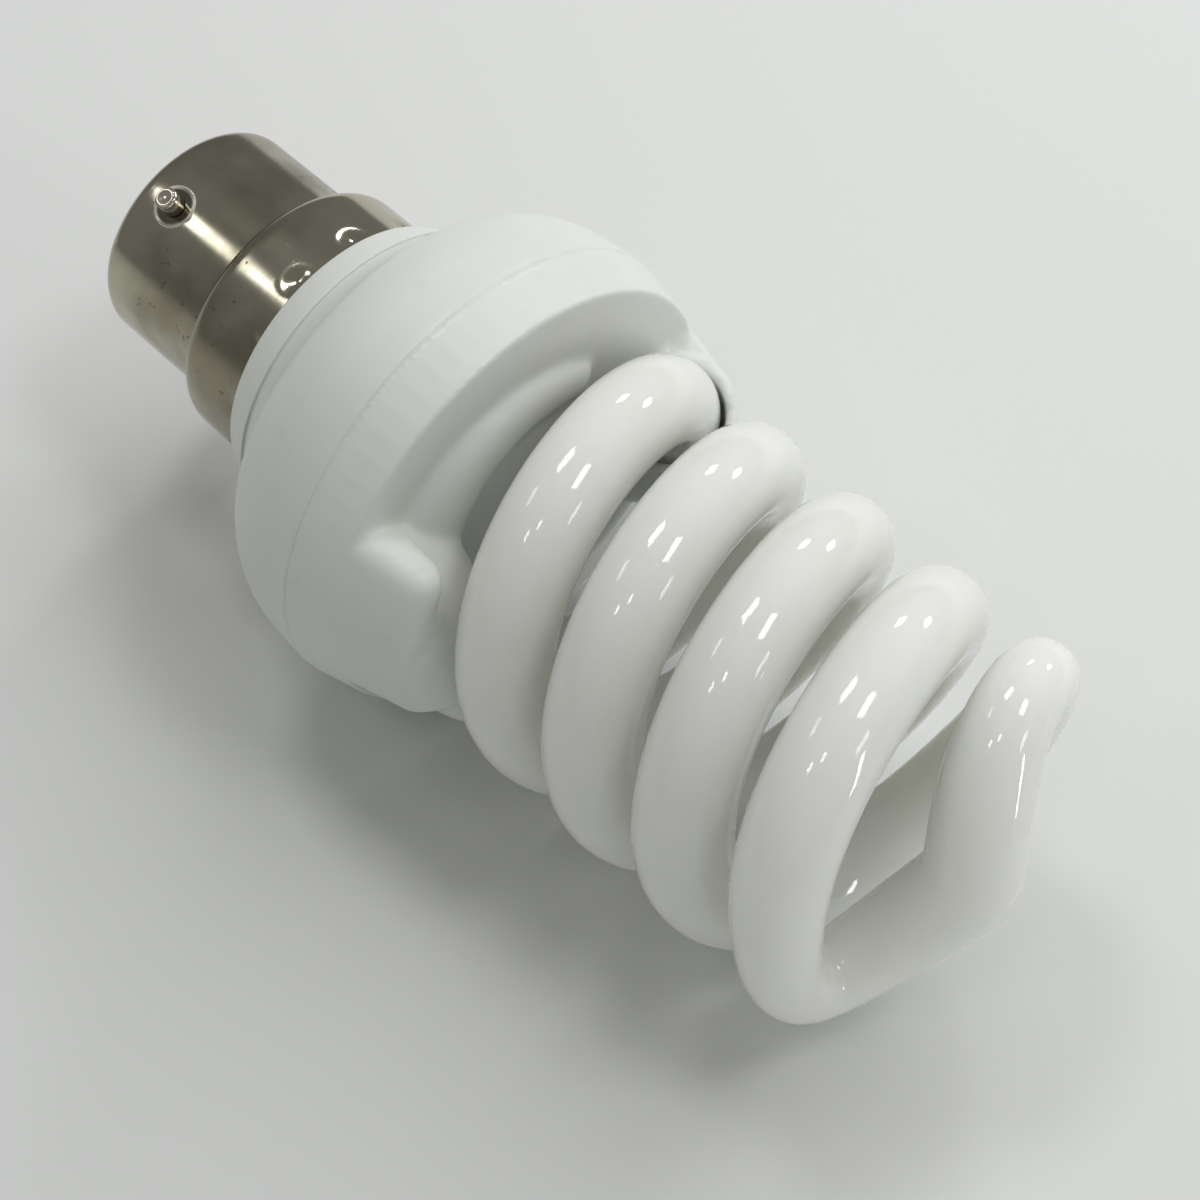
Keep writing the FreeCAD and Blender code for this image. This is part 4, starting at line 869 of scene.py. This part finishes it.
class BULB_OT_housing(bpy.types.Operator):
    """Make the white housing between the cap and the parting line"""

    bl_idname = "bulb.housing"
    bl_label = "Upper housing"

    def execute(self, context):
        sizes = settings().housing
        housing = turned("housing_moulding", housing_outline(sizes, settings().cap), steps=224)
        add_modifier(
            housing,
            "BEVEL",
            width=sizes.bevel,
            segments=3,
            limit_method="ANGLE",
            angle_limit=sizes.bevel_angle,
        )
        smooth(housing, TURNED_EDGE)
        dress(housing, "upper_housing", white_moulding())
        return {"FINISHED"}


class BULB_OT_cover(bpy.types.Operator):
    """Make the cover with its snail-shaped hoods, with every edge softened as on a moulding"""

    bl_idname = "bulb.cover"
    bl_label = "Tube cover"

    def execute(self, context):
        sizes = settings().housing
        cover = copy_of(frame["nodes"]["tube_cover"], "cover_moulding")
        weld(cover)
        add_modifier(cover, "REMESH", mode="VOXEL", voxel_size=sizes.detail, adaptivity=0.0)
        add_modifier(cover, "SMOOTH", factor=0.5, iterations=sizes.cover_passes)
        self.round_hoods(cover, sizes, settings().spiral)
        smooth(cover, NO_EDGE)
        dress(cover, "tube_cover", white_moulding())
        return {"FINISHED"}

    def round_hoods(self, cover, sizes, spiral):
        """Round the hoods and ridges more than the rim of the end face, and the knuckles most of all."""
        around = sizes.knuckle_turn + spiral.turn
        out = Vector((0.0, math.cos(around), math.sin(around))) * sizes.knuckle_radius
        up = Vector((sizes.face + sizes.knuckle_rise, 0.0, 0.0))

        def is_raised(vertex):
            along = vertex.co.x - sizes.face
            across = math.hypot(vertex.co.y, vertex.co.z)
            return along > sizes.edge or (along > -sizes.detail and across < sizes.face_radius - sizes.edge)

        def is_knuckle(vertex):
            gaps = ((vertex.co - up - out).length, (vertex.co - up + out).length)
            return is_raised(vertex) and min(gaps) < sizes.knuckle_spread

        self.soften(cover, is_raised, sizes.hood_passes)
        self.soften(cover, is_knuckle, sizes.knuckle_passes)

    def soften(self, cover, wanted, passes):
        """Smooth the wanted part of the surface."""
        bpy.ops.object.vertex_group_add()
        group = cover.vertex_groups.active.name
        pick(cover, wanted)
        bpy.ops.object.vertex_group_assign()
        bpy.ops.object.mode_set(mode="OBJECT")
        add_modifier(cover, "SMOOTH", factor=0.5, iterations=passes, vertex_group=group)
        bpy.ops.object.vertex_group_remove(all=True)


# Spiral

# Points of the centre line in a strand's bend, in its turns and in its half of the bridge
BEND_STEPS = 10
TURN_STEPS = 128
BRIDGE_STEPS = 28


def strand_point(sizes, turn, strand, radius):
    """Point at an angle of a strand, and at a radius."""
    around = turn + sizes.turn + math.pi * strand
    station = sizes.start + sizes.pitch * turn / TURN
    return Vector((station, radius * math.cos(around), radius * math.sin(around)))


def strand_heading(sizes, turn, strand):
    """Direction of a strand towards the tip."""
    around = turn + sizes.turn + math.pi * strand
    side = sizes.helix_radius
    return Vector((sizes.pitch / TURN, -side * math.sin(around), side * math.cos(around))).normalized()


def swung(points, share):
    """Point at a share of the way on the smooth curve that the control points pull."""
    while len(points) > 1:
        points = [first.lerp(second, share) for first, second in zip(points, points[1:])]
    return points[0]


def strand_line(sizes, strand):
    """Centre line of one strand, from its end in the cover to the crossing at the tip."""
    helix = sizes.helix_radius
    top = strand_point(sizes, sizes.bend, strand, helix)
    end = strand_point(sizes, sizes.bend - sizes.bend_sweep, strand, helix)
    end.x = sizes.foot
    up = Vector((sizes.bend_reach, 0.0, 0.0))
    bend = [end, end + up, top - strand_heading(sizes, sizes.bend, strand) * sizes.bend_reach, top]
    points = [swung(bend, i / BEND_STEPS) for i in range(BEND_STEPS)]
    for i in range(TURN_STEPS):
        turn = sizes.bend + (sizes.bridge - sizes.bend) * i / TURN_STEPS
        points.append(strand_point(sizes, turn, strand, helix))
    start = strand_point(sizes, sizes.bridge, strand, helix)
    shoulder = strand_point(sizes, sizes.bridge + sizes.bridge_sweep, strand, helix + sizes.bridge_bulge)
    shoulder.x = start.x + sizes.bridge_rise
    tip = Vector((start.x + sizes.tip_rise, 0.0, 0.0))
    around = sizes.tip_heading + sizes.turn + math.pi * strand
    heading = Vector((0.0, math.cos(around), math.sin(around)))
    reach = strand_heading(sizes, sizes.bridge, strand) * sizes.bridge_reach
    bridge = [start, start + reach, shoulder, tip - heading * sizes.tip_reach, tip]
    points += [swung(bridge, i / BRIDGE_STEPS) for i in range(BRIDGE_STEPS + 1)]
    return points


def strand_widths(sizes, points):
    """Share of the tube's full width at each point of a strand, from the tip back to the cover."""
    widths = []
    from_tip = 0.0
    last = points[-1]
    for point in reversed(points):
        from_tip += (point - last).length
        gap = (from_tip - sizes.pinch_from_tip) / sizes.pinch_spread
        widths.append(1.0 - sizes.pinch * math.exp(-gap ** 2))
        last = point
    return widths


class BULB_OT_spiral(bpy.types.Operator):
    """Draw the glass tube along both strands and the bridge"""

    bl_idname = "bulb.spiral"
    bl_label = "Glass spiral"

    def execute(self, context):
        sizes = settings().spiral
        colours = settings().finish
        first = strand_line(sizes, 0)
        back = strand_widths(sizes, first)
        points = first + strand_line(sizes, 1)[-2::-1]
        tube = self.draw_tube(sizes, points, back[::-1] + back[1:])
        weld(tube)
        smooth(tube, DRAWN_EDGE)
        glass = glass_finish("tube_glass", colours.glass, colours.glass_shade)
        dress(tube, "spiral_tube", glass)
        return {"FINISHED"}

    def draw_tube(self, sizes, points, widths):
        """Draw a round tube along points, and turn it into a mesh."""
        clear_selection()
        bpy.ops.curve.primitive_nurbs_path_add()
        tube = bpy.context.object
        tube.name = "glass_spiral"
        line = tube.data
        line.name = "glass_spiral"
        line.splines.clear()
        spline = line.splines.new("NURBS")
        spline.points.add(len(points) - 1)
        for control, point, width in zip(spline.points, points, widths):
            control.co = (*point, 1.0)
            control.radius = width
        spline.order_u = 4
        spline.use_endpoint_u = True
        spline.resolution_u = 2
        line.bevel_depth = sizes.tube_radius
        line.bevel_resolution = 14
        line.use_fill_caps = True
        choose(tube)
        bpy.ops.object.convert(target="MESH")
        return bpy.context.object


# Inside


class BULB_OT_ballast(bpy.types.Operator):
    """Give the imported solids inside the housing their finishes"""

    bl_idname = "bulb.ballast"
    bl_label = "Ballast inside"

    def execute(self, context):
        colours = {entry["slot"]: tuple(entry["base_color"][:3]) for entry in frame["record"]["materials"]}
        made = {}
        for subpart in frame["record"]["subparts"]:
            slot = subpart["material_slot"]
            if slot not in INNER_FINISHES:
                continue
            if slot not in made:
                roughness, metallic, grain = INNER_FINISHES[slot]
                made[slot] = inner_finish(slot, colours[slot], metallic, roughness, grain)
            node = frame["nodes"][subpart["node"]]
            node.data.materials.clear()
            node.data.materials.append(made[slot])
        return {"FINISHED"}


# Stage

# Direction from the bulb, share of full brightness, width and height in degrees of each window pane
WINDOW_PANES = (
    ((-0.36, 0.08, 0.93), 0.5, 13.0, 11.0),
    ((0.40, 0.21, 0.89), 0.5, 13.0, 11.0),
    ((-0.37, 0.74, 0.56), 0.9, 7.5, 6.5),
    ((0.13, 0.91, 0.39), 0.9, 7.5, 6.5),
    ((0.17, -0.38, 0.90), 0.45, 5.5, 5.0),
    ((-0.05, -0.55, 0.84), 0.45, 5.5, 5.0),
    ((-0.62, -0.30, 0.73), 0.2, 9.0, 7.0),
    ((0.83, 0.17, 0.53), 0.25, 9.0, 7.0),
    ((0.95, 0.22, 0.08), 0.6, 3.0, 30.0),
)
# The same for the soft key
SOFT_KEY = ((-0.05, 0.62, 0.78), 0.1, 44.0, 44.0)


class BULB_OT_stage(bpy.types.Operator):
    """Lay the pale floor and set the light and the camera"""

    bl_idname = "bulb.stage"
    bl_label = "Stage"

    def execute(self, context):
        stage = settings().stage
        middle = (CAD_BOX[0] + CAD_BOX[1]) / 2
        self.lay_floor(stage, middle)
        self.hang_lights(stage, middle)
        self.set_camera(stage)
        scene = context.scene
        scene.view_settings.view_transform = "Standard"
        room = bpy.data.worlds.new("room")
        room.use_nodes = True
        room.node_tree.nodes["Background"].inputs["Color"].default_value = (*stage.world, 1.0)
        scene.world = room
        return {"FINISHED"}

    def lay_floor(self, stage, middle):
        """Lay the floor under the bulb."""
        clear_selection()
        place = (middle.x, middle.y, CAD_BOX[0].z)
        bpy.ops.mesh.primitive_plane_add(size=stage.floor_size, location=place)
        floor = bpy.context.object
        floor.name = "pale_floor"
        set_down(floor)
        finish = Finish("pale_floor")
        cloud = finish.noise(scale=3.0, detail=3.0)
        material = finish.surface({
            "Base Color": finish.mix(cloud, stage.floor, dimmed(stage.floor, 0.96)),
            "Roughness": 0.9,
            "Specular IOR Level": 0.2,
        })
        floor.data.materials.append(material)

    def hang_light(self, name, pane, stage, middle):
        """Hang a lit rectangle that faces the bulb, as wide and high as it looks from there."""
        direction, share, wide, high = pane
        reach = stage.window_distance
        light = bpy.data.lights.new(name, "AREA")
        light.shape = "RECTANGLE"
        light.size = 2 * reach * math.tan(math.radians(wide / 2))
        light.size_y = 2 * reach * math.tan(math.radians(high / 2))
        light.energy = stage.window * share * math.pi * light.size * light.size_y
        lamp = bpy.data.objects.new(name, light)
        bpy.context.scene.collection.objects.link(lamp)
        heading = Vector(direction).normalized()
        lamp.location = middle + heading * reach
        lamp.rotation_euler = heading.to_track_quat("Z", "Y").to_euler()
        return lamp

    def hang_lights(self, stage, middle):
        """Hang the window panes, and a soft key that doesn't show in the metal and glass."""
        for index, pane in enumerate(WINDOW_PANES, start=1):
            self.hang_light(f"window_pane_{index}", pane, stage, middle)
        key = self.hang_light("soft_key", SOFT_KEY, stage, middle)
        key.visible_glossy = False

    def set_camera(self, stage):
        """Set the camera where the photo was taken from."""
        place = stage.camera_place
        eye = bpy.data.cameras.new("photo_camera")
        eye.lens = stage.lens
        eye.sensor_width = stage.sensor
        eye.clip_start = stage.camera_near
        camera = bpy.data.objects.new("photo_camera", eye)
        bpy.context.scene.collection.objects.link(camera)
        camera.location = place
        camera.rotation_euler = (stage.camera_target - place).to_track_quat("-Z", "Y").to_euler()
        bpy.context.scene.camera = camera


class BULB_PT_panel(bpy.types.Panel):
    """Steps and settings of the bulb"""

    bl_label = "Spiral bulb"
    bl_idname = "BULB_PT_panel"
    bl_space_type = "VIEW_3D"
    bl_region_type = "UI"
    bl_category = "Bulb"

    def draw(self, context):
        layout = self.layout
        for operator in OPERATORS:
            layout.operator(operator.bl_idname)
        bulb = settings()
        for group in (bulb.cap, bulb.housing, bulb.spiral, bulb.finish, bulb.stage):
            box = layout.box()
            for name in group.__annotations__:
                box.prop(group, name)


OPERATORS = (
    BULB_OT_cap_shell,
    BULB_OT_pins,
    BULB_OT_contacts,
    BULB_OT_housing,
    BULB_OT_cover,
    BULB_OT_spiral,
    BULB_OT_ballast,
    BULB_OT_stage,
)
GROUPS = (CapSizes, HousingSizes, SpiralSizes, BulbFinishes, BulbStage, BulbSettings)
CLASSES = GROUPS + OPERATORS + (BULB_PT_panel,)


def register():
    for item in CLASSES:
        bpy.utils.register_class(item)
    bpy.types.Scene.bulb = bpy.props.PointerProperty(
        name="Bulb", description="Settings of the spiral bulb", type=BulbSettings
    )


def unregister():
    del bpy.types.Scene.bulb
    for item in reversed(CLASSES):
        bpy.utils.unregister_class(item)


def main():
    register()
    bpy.ops.bulb.cap_shell()
    bpy.ops.bulb.pins()
    bpy.ops.bulb.contacts()
    bpy.ops.bulb.housing()
    bpy.ops.bulb.cover()
    bpy.ops.bulb.spiral()
    bpy.ops.bulb.ballast()
    bpy.ops.bulb.stage()


if __name__ == "__main__":
    main()
